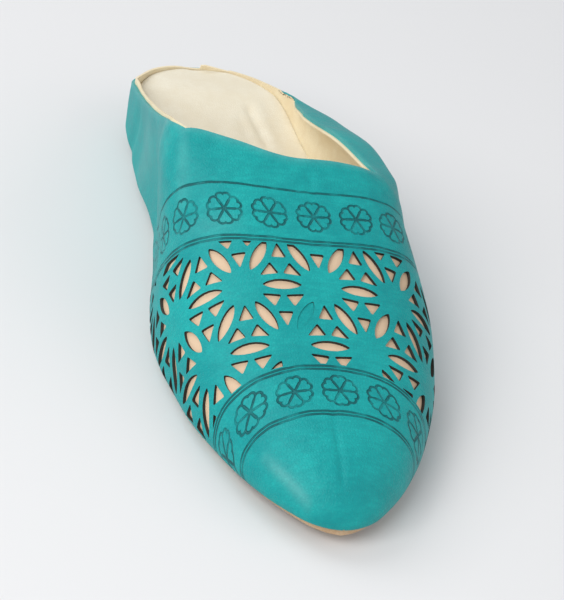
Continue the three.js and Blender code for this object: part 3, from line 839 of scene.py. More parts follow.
@dataclass
class Lattice:
    """Pierced net of medallions: six leaves and six wedges round each centre.

    A pressed cut-out is named by its row, place, shape and spoke.
    """

    last: Last
    rows: range = range(-2, 2)
    places: range = range(-4, 4)
    pitch: float = 26.5
    row_pitch: float = 23.7
    first_row: float = -1.6
    tilt: float = -0.055
    margin: float = 0.9
    base_share: float = 0.93
    least_area: float = 3.0
    corner: float = 0.7
    leaf_segments: int = 20
    leaf_taper: float = 1.5
    probe: float = 2.0
    pressed_depth: float = 0.35
    pressed: tuple[tuple[int, int, Shape, int], ...] = (
        (-1, -1, Shape.LEAF, 1), (1, -1, Shape.WEDGE, 5), (1, 0, Shape.WEDGE, 3),
    )

    def _outline(self, bm: bmesh.types.BMesh, shape: Shape) -> list[bmesh.types.BMVert]:
        """Adds one flat cut-out on the x axis, its medallion at the origin.

        Args:
            bm: Mesh of flat outlines.
            shape: Kind of cut-out.

        Returns:
            Its vertices.
        """
        inner, outer, half = shape.value
        known = set(bm.verts)
        if shape is Shape.WEDGE:
            made = bmesh.ops.create_circle(bm, cap_ends=True, segments=3, radius=1)["verts"]
            for vert, place in zip(made, ((inner, 0, 0), (outer, half, 0), (outer, -half, 0))):
                vert.co = place
            bmesh.ops.bevel(
                bm, geom=made, offset=self.corner, affect="VERTICES", segments=3, profile=0.5, material=-1,
            )
        else:
            sides = self.leaf_segments
            made = bmesh.ops.create_circle(bm, cap_ends=True, segments=sides, radius=1)["verts"]
            for vert in made:
                rise = math.copysign(abs(vert.co.y) ** self.leaf_taper, vert.co.y)
                vert.co = ((inner + outer) / 2 + (outer - inner) / 2 * vert.co.x, half * rise, 0)
        return [vert for vert in bm.verts if vert not in known]

    def _limits(self, spot: Vector) -> list[tuple[Vector, Vector]]:
        """Planes that hold a cut-out between the bands and off the sole.

        Args:
            spot: Middle of the cut-out, across and along.

        Returns:
            Points and outward directions of the planes.
        """
        planes = []
        for band, way in ((LOWER_BAND, -1), (UPPER_BAND, 1)):
            place = band.lines[0] - way * self.margin + band.shift(spot.x)
            lean = band.slope + 2 * band.bow * spot.x
            planes.append((Vector((spot.x, place, 0)), Vector((-lean, 1, 0)) * way))
        flank = -1.0 if spot.x < 0 else 1.0
        along = np.array((spot.y - self.probe, spot.y + self.probe))
        edge = self.last.across(self.last.station_along(along), np.full(2, flank * self.base_share))
        lean = (edge[1] - edge[0]) / (2 * self.probe)
        planes.append((Vector((edge.mean(), spot.y, 0)), Vector((1, -lean, 0)) * flank))
        return planes

    def _cut_out(
        self, bm: bmesh.types.BMesh, centre: Vector, angle: float, shape: Shape, through: bool,
    ) -> None:
        """Adds one flat cut-out at its place, held inside its limits.

        Args:
            bm: Mesh of flat outlines.
            centre: Middle of its medallion, across and along.
            angle: Direction of its spoke in radians.
            shape: Kind of cut-out.
            through: False for one that is only pressed in.
        """
        known = set(bm.faces)
        made = self._outline(bm, shape)
        turn = Matrix.Translation(centre) @ Matrix.Rotation(angle, 4, "Z")
        bmesh.ops.transform(bm, matrix=turn, verts=made)
        for vert in made:
            vert.co.y += self.first_row + self.tilt * vert.co.x
        spot = sum((vert.co for vert in made), Vector()) / len(made)
        for place, outward in self._limits(spot):
            faces = [face for face in bm.faces if face not in known]
            edges = {edge for face in faces for edge in face.edges}
            verts = {vert for face in faces for vert in face.verts}
            bmesh.ops.bisect_plane(
                bm, geom=[*faces, *edges, *verts], plane_co=place, plane_no=outward, clear_outer=True,
            )
        layer = bm.verts.layers.int["pressed"]
        for face in [face for face in bm.faces if face not in known]:
            if face.calc_area() < self.least_area:
                bmesh.ops.delete(bm, geom=[face], context="FACES")
                continue
            for vert in face.verts:
                vert[layer] = 0 if through else 1

    def cutters(self, top: float, bottom: float) -> bmesh.types.BMesh:
        """Closed cutters of all cut-outs, still flat.

        Args:
            top: Height over the leather where they start.
            bottom: Height under it where they end.

        Returns:
            Mesh of the cutters.
        """
        bm = bmesh.new()
        layer = bm.verts.layers.int.new("pressed")
        lean = math.atan2(self.row_pitch, self.pitch / 2)
        spokes = {
            Shape.LEAF: (0.0, lean, math.pi - lean),
            Shape.WEDGE: tuple(math.pi / 6 + k * math.pi / 3 for k in range(6)),
        }
        for row in self.rows:
            for place in self.places:
                shift = 0.0 if row % 2 == 0 else 0.5
                centre = Vector(((place + shift) * self.pitch, row * self.row_pitch, 0))
                for shape, angles in spokes.items():
                    for k, angle in enumerate(angles):
                        through = (row, place, shape, k) not in self.pressed
                        self._cut_out(bm, centre, angle, shape, through)
        for vert in bm.verts:
            vert.co.z = top
        log.info("lattice: %d cut-outs", len(bm.faces))
        lower = bmesh.ops.extrude_face_region(bm, geom=bm.faces[:], use_keep_orig=True)["geom"]
        for item in lower:
            if isinstance(item, bmesh.types.BMVert):
                item.co.z = -self.pressed_depth if item[layer] else bottom
        bmesh.ops.recalc_face_normals(bm, faces=bm.faces[:])
        return bm


class Nodes:
    """Short hand for the nodes of one tree."""

    def __init__(self, tree: bpy.types.NodeTree) -> None:
        """Keeps the tree."""
        self.tree = tree

    def put(self, socket: bpy.types.NodeSocket, value: object) -> None:
        """Links a socket to another, or sets its value.

        Args:
            socket: Socket that takes the value.
            value: Socket to link, or a plain value.
        """
        if isinstance(value, bpy.types.NodeSocket):
            self.tree.links.new(value, socket)
        else:
            socket.default_value = value

    def add(self, kind: str, inputs: Optional[dict] = None, **settings: object) -> bpy.types.Node:
        """Adds a node.

        Args:
            kind: Node type.
            inputs: Values or sockets by input name or number.
            settings: Properties of the node.

        Returns:
            The node.
        """
        node = self.tree.nodes.new(kind)
        for name, value in settings.items():
            setattr(node, name, value)
        for name, value in (inputs or {}).items():
            self.put(node.inputs[name], value)
        return node

    def math(self, operation: str, *values: object) -> bpy.types.NodeSocket:
        """Result of a Math node."""
        node = self.add("ShaderNodeMath", dict(enumerate(values)), operation=operation)
        return node.outputs[0]

    def step(
        self, value: object, low: float, high: float, start: float = 0.0, end: float = 1.0,
    ) -> bpy.types.NodeSocket:
        """Soft step of a value from start to end."""
        inputs = {0: value, 1: low, 2: high, 3: start, 4: end}
        return self.add("ShaderNodeMapRange", inputs, interpolation_type="SMOOTHSTEP").outputs[0]

    def mix(self, share: object, first: object, second: object, blend: str = "MIX") -> bpy.types.NodeSocket:
        """Mix of two colours.

        Args:
            share: Share of the second colour.
            first: First colour.
            second: Second colour.
            blend: Way of mixing.

        Returns:
            Socket of the mixed colour.
        """
        node = self.add("ShaderNodeMix", data_type="RGBA", blend_type=blend)
        for number, value in ((0, share), (6, first), (7, second)):
            self.put(node.inputs[number], value)
        return node.outputs[2]

    def noise(
        self, vector: object, scale: object, detail: float = 3.0, rough: float = 0.5,
    ) -> bpy.types.NodeSocket:
        """Grey noise."""
        inputs = {"Vector": vector, "Scale": scale, "Detail": detail, "Roughness": rough}
        return self.add("ShaderNodeTexNoise", inputs).outputs["Fac"]

    def length(self, x: object, y: object) -> bpy.types.NodeSocket:
        """Distance of a place in the plane from the origin."""
        return self.math("SQRT", self.math("MULTIPLY_ADD", x, x, self.math("MULTIPLY", y, y)))

    def attribute(self, name: str, output: str) -> bpy.types.NodeSocket:
        """One output of an attribute of the mesh."""
        return self.add("ShaderNodeAttribute", attribute_name=name).outputs[output]


def node_group(name: str, inputs: Sequence[tuple[str, str]], outputs: Sequence[tuple[str, str]]) -> tuple:
    """Starts a shader node group.

    Args:
        name: Name of the group.
        inputs: Names and socket types that go in.
        outputs: Names and socket types that come out.

    Returns:
        The tree, its nodes, the sockets that go in by name and the node they leave through.
    """
    tree = bpy.data.node_groups.new(name, "ShaderNodeTree")
    for label, kind in inputs:
        tree.interface.new_socket(label, in_out="INPUT", socket_type=kind)
    for label, kind in outputs:
        tree.interface.new_socket(label, in_out="OUTPUT", socket_type=kind)
    nodes = Nodes(tree)
    entry = nodes.add("NodeGroupInput")
    leave = nodes.add("NodeGroupOutput")
    return tree, nodes, entry.outputs, leave.inputs


VALUE, VECTOR = "NodeSocketFloat", "NodeSocketVector"


@dataclass(frozen=True)
class Grain:
    """Fine pebbled grain, cloudy dye and drawn streaks of goat leather, shared by all leathers."""

    name: str = "leather_grain"
    pebble_edge: float = 0.32
    fine_scale: float = 2.2
    fine_share: float = 0.5
    cloud_scales: Point = (34.0, 170.0)
    cloud_share: float = 0.35
    lie: tuple[float, float, float] = (0.0, 0.0, 0.45)
    stretch: tuple[float, float, float] = (210.0, 900.0, 560.0)

    def tree(self) -> bpy.types.NodeTree:
        """Builds the group once: Vector and Scale in, Height, Cloud and Streak out.

        Returns:
            The group.
        """
        if self.name in bpy.data.node_groups:
            return bpy.data.node_groups[self.name]
        tree, nodes, entry, leave = node_group(
            self.name, (("Vector", VECTOR), ("Scale", VALUE)),
            (("Height", VALUE), ("Cloud", VALUE), ("Streak", VALUE)),
        )
        place, scale = entry["Vector"], entry["Scale"]
        cells = nodes.add(
            "ShaderNodeTexVoronoi", {"Vector": place, "Scale": scale, "Randomness": 1.0},
            feature="DISTANCE_TO_EDGE",
        ).outputs["Distance"]
        pebble = nodes.step(cells, 0.0, self.pebble_edge)
        pebble = nodes.math("MULTIPLY", pebble, 1 - self.fine_share)
        fine = nodes.noise(place, nodes.math("MULTIPLY", scale, self.fine_scale), 2.0)
        nodes.put(leave["Height"], nodes.math("MULTIPLY_ADD", fine, self.fine_share, pebble))
        large = nodes.noise(place, self.cloud_scales[0], 4.0, 0.6)
        large = nodes.math("MULTIPLY", large, 1 - self.cloud_share)
        small = nodes.noise(place, self.cloud_scales[1], 3.0, 0.6)
        nodes.put(leave["Cloud"], nodes.math("MULTIPLY_ADD", small, self.cloud_share, large))
        drawn = nodes.add(
            "ShaderNodeMapping", {"Vector": place, "Rotation": self.lie, "Scale": self.stretch},
        ).outputs["Vector"]
        nodes.put(leave["Streak"], nodes.noise(drawn, 1.0, 3.0, 0.65))
        return tree


@dataclass(frozen=True)
class Tooling:
    """Pressed bands across the vamp: lines and rows of six-petalled rosettes.

    A petal is a heart of two round lobes on a stalk, sized in shares of the rosette's radius.
    Edges are the distances from a line's middle at which the press is full and at which it ends.
    """

    bands: tuple[Band, ...]
    radius: float = 7.3
    lobe_out: float = 0.6
    lobe_aside: float = 0.13
    lobe_radius: float = 0.2
    stalk_angle: float = 28.9
    petal_edge: Point = (0.16, 0.5)
    line_edge: Point = (0.2, 0.48)
    wobble: float = 0.45
    wobble_scale: float = 0.12
    worn_scale: float = 0.16
    worn_range: Point = (0.36, 0.56)
    worn_least: float = 0.5
    name: str = "tooled_bands"

    def _rosettes(
        self, nodes: Nodes, x: bpy.types.NodeSocket, y: bpy.types.NodeSocket,
    ) -> bpy.types.NodeSocket:
        """Mask of a row of rosettes with heart-shaped petals.

        Args:
            nodes: Nodes of the group.
            x: Arc length across from the middle of the nearest rosette.
            y: Arc length along the crest from the middle of the row.

        Returns:
            1 in the pressed lines.
        """
        radius = nodes.length(x, y)
        turn = nodes.math("WRAP", nodes.math("ARCTAN2", x, y), math.pi / 6, -math.pi / 6)
        out = nodes.math("MULTIPLY", nodes.math("COSINE", turn), radius)
        aside = nodes.math("ABSOLUTE", nodes.math("MULTIPLY", nodes.math("SINE", turn), radius))
        beyond = nodes.math("SUBTRACT", out, self.lobe_out * self.radius)
        beside = nodes.math("SUBTRACT", aside, self.lobe_aside * self.radius)
        lobe = nodes.math("SUBTRACT", nodes.length(beyond, beside), self.lobe_radius * self.radius)
        lean = math.radians(self.stalk_angle)
        stalk = nodes.math("MULTIPLY", aside, math.cos(lean))
        stalk = nodes.math("MULTIPLY_ADD", out, -math.sin(lean), stalk)
        stalk = nodes.math("MAXIMUM", stalk, beyond)
        edge = nodes.math("ABSOLUTE", nodes.math("MINIMUM", lobe, stalk))
        return nodes.step(edge, *self.petal_edge, 1.0, 0.0)

    def tree(self) -> bpy.types.NodeTree:
        """Builds the group: Pattern in, Press out.

        Returns:
            The group.
        """
        tree, nodes, entry, leave = node_group(self.name, (("Pattern", VECTOR),), (("Press", VALUE),))
        pattern = entry["Pattern"]
        across, along, _ = nodes.add("ShaderNodeSeparateXYZ", {0: pattern}).outputs
        wobble = nodes.noise(pattern, self.wobble_scale, 1.0)
        wobble = nodes.math("MULTIPLY_ADD", wobble, 2 * self.wobble, -self.wobble)
        mask: object = 0.0
        for band in self.bands:
            bend = nodes.math("MULTIPLY", nodes.math("MULTIPLY_ADD", across, band.bow, band.slope), across)
            place = nodes.math("SUBTRACT", nodes.math("ADD", along, wobble), bend)
            for line in band.lines:
                away = nodes.math("ABSOLUTE", nodes.math("SUBTRACT", place, line))
                mask = nodes.math("MAXIMUM", mask, nodes.step(away, *self.line_edge, 1.0, 0.0))
            x = nodes.math("SUBTRACT", across, band.start)
            x = nodes.math("WRAP", x, band.pitch / 2, -band.pitch / 2)
            mark = self._rosettes(nodes, x, nodes.math("SUBTRACT", place, band.row))
            mask = nodes.math("MAXIMUM", mask, mark)
        faded = nodes.noise(pattern, self.worn_scale, 3.0)
        faded = nodes.step(faded, *self.worn_range, self.worn_least, 1.0)
        nodes.put(leave["Press"], nodes.math("MULTIPLY", mask, faded))
        return tree


@dataclass(frozen=True)
class LeatherFinish:
    """Dyed leather with grain, cloudy dye, scuffing and a painted highlight on its high places.

    Bump is the depth of the relief in millimetres. Ranges are the values of a noise between
    which an effect comes in. Tooled names the attribute of the mesh with the pressed lines, and the
    field after it the attribute with the scuffing and the painted highlight; pale scales and lifts the
    light colour there, and covered is the colour of the leather that lies under the vamp.
    """

    name: str
    base: Colour
    light: Colour
    dark: Colour
    rough: float = 0.5
    shine: float = 0.3
    grain: float = 900.0
    bump: float = 0.48
    coat: float = 0.0
    coat_rough: float = 0.35
    tooling: Optional[Tooling] = None
    line: Colour = (0.003, 0.085, 0.095)
    line_share: float = 0.86
    tooled: Optional[str] = None
    faded: Optional[str] = None
    streaks: float = 0.12
    base_share: float = 0.42
    pore_share: float = 0.3
    pebble_depth: float = 0.22
    cloud_range: Point = (0.34, 0.66)
    pore_range: Point = (0.15, 0.75)
    streak_range: Point = (0.36, 0.64)
    patch_range: Point = (0.3, 0.62)
    patch_least: float = 0.45
    pale: Point = (0.62, 0.2)
    rough_range: Point = (0.3, 0.7)
    rough_spread: Point = (-0.06, 0.08)
    covered: Optional[Colour] = None
    cover_fade: Point = (18.0, 34.0)
    cover_share: float = 0.85

    def _dye(self, nodes: Nodes, grain: bpy.types.Node) -> bpy.types.NodeSocket:
        """Colour of the leather without its pressed lines.

        Args:
            nodes: Nodes of the material.
            grain: Node of the grain.

        Returns:
            Socket of the colour.
        """
        cloud, dark = grain.outputs["Cloud"], (*self.dark, 1)
        colour = nodes.mix(nodes.step(cloud, *self.cloud_range), dark, (*self.light, 1))
        colour = nodes.mix(self.base_share, colour, (*self.base, 1))
        pores = nodes.step(grain.outputs["Height"], *self.pore_range, self.pore_share, 0.0)
        colour = nodes.mix(pores, colour, dark)
        streak = nodes.step(grain.outputs["Streak"], *self.streak_range)
        colour = nodes.mix(nodes.math("MULTIPLY", streak, self.streaks), colour, dark)
        if self.covered is not None:
            pattern = nodes.attribute("pattern", "Vector")
            along = nodes.add("ShaderNodeSeparateXYZ", {0: pattern}).outputs[1]
            cover = nodes.step(along, *self.cover_fade, self.cover_share, 0.0)
            colour = nodes.mix(cover, colour, (*self.covered, 1))
        # Paler where the mesh attribute says: scuffing along the topline and a painted highlight on the
        # raised folds.
        if self.faded is not None:
            patchy = nodes.step(cloud, *self.patch_range, self.patch_least, 1.0)
            rubbed_and_highlit = nodes.math("MULTIPLY", nodes.attribute(self.faded, "Fac"), patchy)
            pale = [min(1.0, self.pale[0] * part + self.pale[1]) for part in self.light]
            colour = nodes.mix(rubbed_and_highlit, colour, (*pale, 1))
        return colour

    def _press(self, nodes: Nodes) -> Optional[bpy.types.NodeSocket]:
        """Mask of the pressed lines.

        Args:
            nodes: Nodes of the material.

        Returns:
            Socket that is 1 in the lines, or None for plain leather.
        """
        if self.tooling is not None:
            bands = nodes.add("ShaderNodeGroup", node_tree=self.tooling.tree())
            nodes.put(bands.inputs["Pattern"], nodes.attribute("pattern", "Vector"))
            return bands.outputs["Press"]
        return None if self.tooled is None else nodes.attribute(self.tooled, "Fac")

    def material(self) -> bpy.types.Material:
        """Builds the material.

        Returns:
            The material.
        """
        made = bpy.data.materials.new(self.name)
        made.use_nodes = True
        nodes = Nodes(made.node_tree)
        shader = made.node_tree.nodes["Principled BSDF"]
        grain = nodes.add("ShaderNodeGroup", node_tree=Grain().tree())
        nodes.put(grain.inputs["Vector"], nodes.add("ShaderNodeTexCoord").outputs["Object"])
        grain.inputs["Scale"].default_value = self.grain
        colour, press = self._dye(nodes, grain), self._press(nodes)
        relief = nodes.math("MULTIPLY", grain.outputs["Height"], self.pebble_depth)
        relief = nodes.math("MULTIPLY_ADD", grain.outputs["Streak"], self.streaks, relief)
        if press is not None:
            colour = nodes.mix(nodes.math("MULTIPLY", press, self.line_share), colour, (*self.line, 1))
            relief = nodes.math("MULTIPLY_ADD", press, -1.0, relief)
        nodes.put(shader.inputs["Base Color"], colour)
        least, most = (self.rough + spread for spread in self.rough_spread)
        spread = nodes.step(grain.outputs["Cloud"], *self.rough_range, least, most)
        nodes.put(shader.inputs["Roughness"], spread)
        shader.inputs["Coat Weight"].default_value = self.coat
        shader.inputs["Coat Roughness"].default_value = self.coat_rough
        shader.inputs["Specular IOR Level"].default_value = self.shine
        depth = {"Height": relief, "Strength": 1.0, "Distance": self.bump / 1000}
        nodes.put(shader.inputs["Normal"], nodes.add("ShaderNodeBump", depth).outputs["Normal"])
        return made


@dataclass
class Upper:
    """Turquoise leather upper with its pierced lattice, and the cream lining behind it."""

    last: Last
    bench: Workbench
    leather: float = 1.15
    lining_gap: float = 0.05
    lining: float = 0.8
    edge: float = 0.32
    lining_edge: float = 0.25
    lining_rise: float = 0.7
    cutter_reach: float = 2.0
    rim_fade: Point = (-2.2, -0.3)
    rim_from: float = 118.0
    rim_wear: float = 0.3
    # Share of painted highlight on the raised folds, per millimetre of their rise.
    ridge_highlight: float = 0.34
    most_wear_and_highlight: float = 0.6

    def __post_init__(self) -> None:
        """Prepares the flat pattern."""
        self.pattern = FlatPattern(self.last)

    def _finish(self) -> LeatherFinish:
        """Finish of the outer leather, with its pressed bands.

        Returns:
            The finish.
        """
        return LeatherFinish(
            "turquoise_goat_leather", (0.004, 0.36, 0.345), (0.012, 0.44, 0.425), (0.002, 0.235, 0.255),
            rough=0.47, shine=0.22, grain=1000.0, bump=0.68, coat=0.02, streaks=0.3,
            tooling=Tooling((UPPER_BAND, LOWER_BAND)), faded="wear_and_highlight",
        )

    def _wear_and_highlight(self, flat: np.ndarray) -> np.ndarray:
        """How far the colour is paled: scuffing at the edges and a painted highlight on the ridges.

        Args:
            flat: Points of the flat pattern.

        Returns:
            Shares from 0 to 1.
        """
        station = self.last.station_along(flat[:, 1])
        side = self.last.side_across(station, flat[:, 0])
        over = self.last.over_collar(self.last.skin(station, side))
        rim = smoothstep(over, *self.rim_fade) * (station > self.rim_from)
        # Painted highlight: the raised folds are painted paler by their rise.
        ridge = np.clip(self.last.relief(flat[:, :2]), 0, None)
        return np.clip(self.rim_wear * rim + self.ridge_highlight * ridge, 0, self.most_wear_and_highlight)

    def _lasted_piece(
        self, name: str, bm: bmesh.types.BMesh, finishes: Sequence[bpy.types.Material], slot: Slot,
        node: Optional[str] = None,
    ) -> bpy.types.Object:
        """Draws a flat solid over the last and makes it a piece.

        Args:
            name: Name of the piece.
            bm: Flat solid.
            finishes: Materials.
            slot: Slot of the record; not used.
            node: CAD node that the piece stands for.

        Returns:
            The piece.
        """
        flat = self.bench.coordinates(bm)
        pattern = bm.verts.layers.float_vector.new("pattern")
        # Per vertex share of scuffing and painted highlight.
        wear_and_highlight = bm.verts.layers.float.new("wear_and_highlight")
        for vert, place, rubbed_and_highlit in zip(bm.verts, flat, self._wear_and_highlight(flat)):
            vert[pattern] = place
            vert[wear_and_highlight] = rubbed_and_highlit
        self.bench.move(bm, self.last.metres(self.last.lasted(flat)))
        return self.bench.piece(name, bm, finishes, slot, node)

    def build_leather(self) -> bpy.types.Object:
        """Outer leather with its cut-outs.

        Returns:
            The piece that stands for the upper.
        """
        bm = self.pattern.sheet()
        self.pattern.thicken(bm, 0.0, -self.leather, self.edge)
        cutters = Lattice(self.last).cutters(self.cutter_reach, -self.leather - self.cutter_reach)
        bm = self.bench.cut(bm, cutters)
        bm.normal_update()
        for face in bm.faces:
            if face.normal.z > 0.9:
                face.material_index = 0
        wall = LeatherFinish(
            "burnt_cut_edge", (0.035, 0.035, 0.03), (0.07, 0.06, 0.05), (0.014, 0.012, 0.01),
            rough=0.7, bump=0.2,
        )
        finishes = [self._finish().material(), wall.material()]
        return self._lasted_piece("upper_leather", bm, finishes, Slot.TURQUOISE, "upper")

    def build_lining(self) -> bpy.types.Object:
        """Lining behind the leather, a little proud of its edge.

        Returns:
            The piece.
        """
        bm = self.pattern.sheet(self.lining_rise)
        top = -self.leather - self.lining_gap
        self.pattern.thicken(bm, top, top - self.lining, self.lining_edge)
        cream = LeatherFinish(
            "cream_lining_leather", (0.86, 0.76, 0.53), (0.89, 0.82, 0.63), (0.74, 0.60, 0.38),
            rough=0.62, grain=1300.0, bump=0.24, covered=(0.70, 0.50, 0.34),
        )
        return self._lasted_piece("upper_lining", bm, [cream.material()], Slot.CREAM)


@dataclass
class Footbed:
    """Cream seat and footbed inside the upper."""

    last: Last
    bench: Workbench
    wall: float = 2.15
    first: float = 7.0
    across: int = 64
    rows: int = 150
    levels: int = 6
    even_share: float = 0.55
    tail: float = 0.9
    tail_end: float = 0.25
    tail_rows: int = 6
    edge_power: float = 1.35
    tried_shares: int = 401
    shoulder: float = 0.6
    shoulder_from: float = 0.9
    shoulder_round: float = 0.98
    dish: float = 0.5
    top_pairs: Pairs = (
        (-10, 11), (20, 8.2), (58, 6), (115, 6.8), (150, 10.5), (180, 11.3), (205, 11.8), (220, 13.6),
        (236, 18), (248, 21.6), (256, 21.8), (275, 21.2),
    )
    creases: tuple[Crease, ...] = (
        Crease((16, 238), (21, 220), 1.6, -0.8),
        Crease((20, 240), (24, 222), 2.4, 0.5),
        Crease((12, 232), (15, 216), 2.0, -0.4),
        Crease((4, 206), (-3, 228), 4.0, 0.5),
        Crease((-16, 190), (-20, 215), 4.5, -0.7),
        Crease((18, 172), (20, 196), 2.6, -0.7),
        Crease((-4, 168), (6, 182), 5.0, 0.6),
    )

    def __post_init__(self) -> None:
        """Prepares the line of the top."""
        self.top = SmoothLine(self.top_pairs)

    def _stations(self) -> np.ndarray:
        """Stations of the rows, closer towards both ends and closest at the heel.

        Returns:
            Stations in rising order.
        """
        length = self.last.length
        t = np.linspace(0, 1, self.rows + 1)
        eased = 0.5 - 0.5 * np.cos(math.pi * t)
        spread = self.even_share * t + (1 - self.even_share) * eased
        main = self.first + (length - self.tail - self.first) * spread
        tail = length - self.tail * np.linspace(1, self.tail_end, self.tail_rows) ** 2
        return np.sort(np.concatenate((main[:-1], tail)))

    def _edges(self, stations: np.ndarray) -> dict[Flank, np.ndarray]:
        """Points on the inside of the wall, from the footbed's top down to the sole.

        Args:
            stations: Stations of the rows.

        Returns:
            Points by flank, row and level.
        """
        levels = self.levels
        shares = np.linspace(1, 0, self.tried_shares)
        edges = {}
        for flank in Flank:
            sides = np.maximum(shares, LEAST_SHARE) * flank.value
            found = np.zeros((len(stations), levels + 1, 3))
            for i, station in enumerate(stations):
                at = np.full(len(shares), station)
                points = self.last.skin(at, sides) - self.last.normal(at, sides) * self.wall
                over = points[:, 2] - self.top(points[:, 1])
                first = int(np.argmax(over > 0)) if np.any(over > 0) else len(shares) - 1
                for level in range(levels + 1):
                    found[i, level] = points[int(round(first * (1 - level / levels)))]
                found[i, 0, 2] = min(self.top(found[i, 0, 1]), points[first, 2])
            edges[flank] = found
        return edges

    @staticmethod
    def _between(edges: dict[Flank, np.ndarray], row: object, level: int, share: object) -> np.ndarray:
        """Points between the two flanks of a row.

        Args:
            edges: Points by flank, row and level.
            row: Number of the row, or numbers.
            level: Number of the level.
            share: Place across from -1 to 1, or places.

        Returns:
            Points.
        """
        blend = (np.asarray(share)[..., None] + 1) / 2
        return edges[Flank.MEDIAL][row, level] * (1 - blend) + edges[Flank.LATERAL][row, level] * blend

    def _rise(self, places: np.ndarray, share: np.ndarray) -> np.ndarray:
        """Soft shoulders and creases of the seat.

        Args:
            places: Points of the top.
            share: Places across, -1 to 1.

        Returns:
            Heights over the plain top.
        """
        t = np.clip((np.abs(share) - self.shoulder_from) / (1 - self.shoulder_from), 0, 1)
        out = self.dish * share**2 - self.shoulder * (1 - np.sqrt(1 - self.shoulder_round * t**2))
        for crease in self.creases:
            _, away = beside_run(places[:, :2], np.array(crease.start), np.array(crease.end))
            out += crease.rise(away)
        return out

    def build(self) -> bpy.types.Object:
        """Footbed as one closed form from its top down to the sole.

        Returns:
            The piece that stands for the insole.
        """
        stations = self._stations()
        edges = self._edges(stations)
        along = len(stations) - 1
        bm = bmesh.new()
        bmesh.ops.create_grid(bm, x_segments=self.across, y_segments=along, size=1)
        column, row = self.bench.grid_places(bm, self.across, along)
        share = 2 * column / self.across - 1
        share = np.sign(share) * (1 - (1 - np.abs(share)) ** self.edge_power)
        places = self._between(edges, row, 0, share)
        places[:, 2] += self._rise(places, share)
        bm.verts.index_update()
        kept = {v: (row[v.index], share[v.index]) for v in bm.verts}
        self.bench.move(bm, places)
        rim = [edge for edge in bm.edges if edge.is_boundary]
        for level in range(1, self.levels + 1):
            upper = {vert for edge in rim for vert in edge.verts}
            made = bmesh.ops.extrude_edge_only(bm, edges=rim)["geom"]
            for vert in [item for item in made if isinstance(item, bmesh.types.BMVert)]:
                above = next(e.other_vert(vert) for e in vert.link_edges if e.other_vert(vert) in upper)
                kept[vert] = kept[above]
                at, spot = kept[vert]
                vert.co = self._between(edges, at, level, spot)
            rim = [item for item in made if isinstance(item, bmesh.types.BMEdge)]
        bmesh.ops.contextual_create(bm, geom=rim)
        bmesh.ops.remove_doubles(bm, verts=bm.verts[:], dist=2 * WELD)
        bmesh.ops.recalc_face_normals(bm, faces=bm.faces[:])
        self.bench.move(bm, self.last.metres(self.bench.coordinates(bm)))
        cream = LeatherFinish(
            "cream_seat_leather", (0.80, 0.755, 0.62), (0.83, 0.795, 0.68), (0.72, 0.65, 0.50),
            rough=0.58, grain=1100.0, bump=0.28,
        )
        made = self.bench.piece("footbed", bm, [cream.material()], Slot.CREAM, "insole", sharp=60)
        return made


@dataclass
class Outsole:
    """Flat leather sole with a rounded edge and a tooled underside."""

    last: Last
    bench: Workbench
    across: int = 110
    top_cells: int = 16
    corner_turns: tuple[float, ...] = (-67.5, -45, -22.5, 0)
    end_rows: int = 41
    end_step: float = 0.02
    step: float = 1.3
    narrow: float = 8.0
    rounding: float = 1.2
    groove: float = 0.3

    def _profile(self) -> list[tuple[float, float, float]]:
        """Closed outline of the sole as (share of the flat width, corner across, corner up).

        Returns:
            Places round the outline; the corner terms run from -1 to 1.
        """
        flat = [(2 * i / self.across - 1, 0.0, -1.0) for i in range(self.across + 1)]
        turn = [math.radians(a) for a in self.corner_turns]
        low = [(1.0, math.cos(a), math.sin(a)) for a in turn]
        high = [(1.0, math.cos(a), -math.sin(a)) for a in turn[::-1]]
        top = [(1 - 2 * i / self.top_cells, 0.0, 1.0) for i in range(self.top_cells + 1)]
        back = [(-x, -c, s) for x, c, s in (low + high)[::-1]]
        return flat + low + high + top + back + flat[:1]

    def build(self) -> bpy.types.Object:
        """Sole as one closed form.

        Returns:
            The piece that stands for the outsole.
        """
        last = self.last
        end = self.end_step * np.arange(self.end_rows) ** 2
        middle = np.arange(end[-1] + self.step, last.length - end[-1] - self.step / 2, self.step)
        stations = np.concatenate((end, middle, (last.length - end)[::-1]))
        profile = np.array(self._profile())
        bm = bmesh.new()
        around, along = len(profile) - 1, len(stations) - 1
        bmesh.ops.create_grid(bm, x_segments=around, y_segments=along, size=1)
        column, row = self.bench.grid_places(bm, around, along)
        station = stations[row]
        half = last.half_width(station)
        half = half - last.sole_edge * np.minimum(1, half / self.narrow)
        bend = np.minimum(self.rounding, 0.5 * half)
        share, corner, up = profile[column].T
        x = last.swing(station) + share * (half - bend) + corner * bend
        height = np.where(up < 0, bend + up * bend, last.sole - bend + up * bend)
        level = np.where(np.abs(up) == 1, np.where(up < 0, 0.0, last.sole), height)
        y = last.length / 2 + (station - last.length / 2) * (1 - 2 * last.sole_edge / last.length)
        places = np.stack((x, y, last.lift(station) + level), axis=-1)
        layer = bm.verts.layers.float.new("tooled")
        under = (up == -1) & (np.abs(share) < 1)
        press = np.zeros(len(places))
        press[under] = SoleOrnament(last).press(places[under, :2])
        places[:, 2] += self.groove * press
        for vert, depth in zip(bm.verts, press):
            vert[layer] = depth
        self.bench.move(bm, places)
        bmesh.ops.remove_doubles(bm, verts=bm.verts[:], dist=WELD)
        bmesh.ops.recalc_face_normals(bm, faces=bm.faces[:])
        self.bench.move(bm, last.metres(self.bench.coordinates(bm)))
        finish = LeatherFinish(
            "tooled_sole_leather", (0.60, 0.42, 0.26), (0.68, 0.53, 0.36), (0.45, 0.27, 0.14),
            rough=0.55, grain=700.0, bump=0.4, tooled="tooled", line=(0.13, 0.05, 0.02),
        )
        return self.bench.piece("sole", bm, [finish.material()], Slot.SOLE, "outsole", sharp=50)


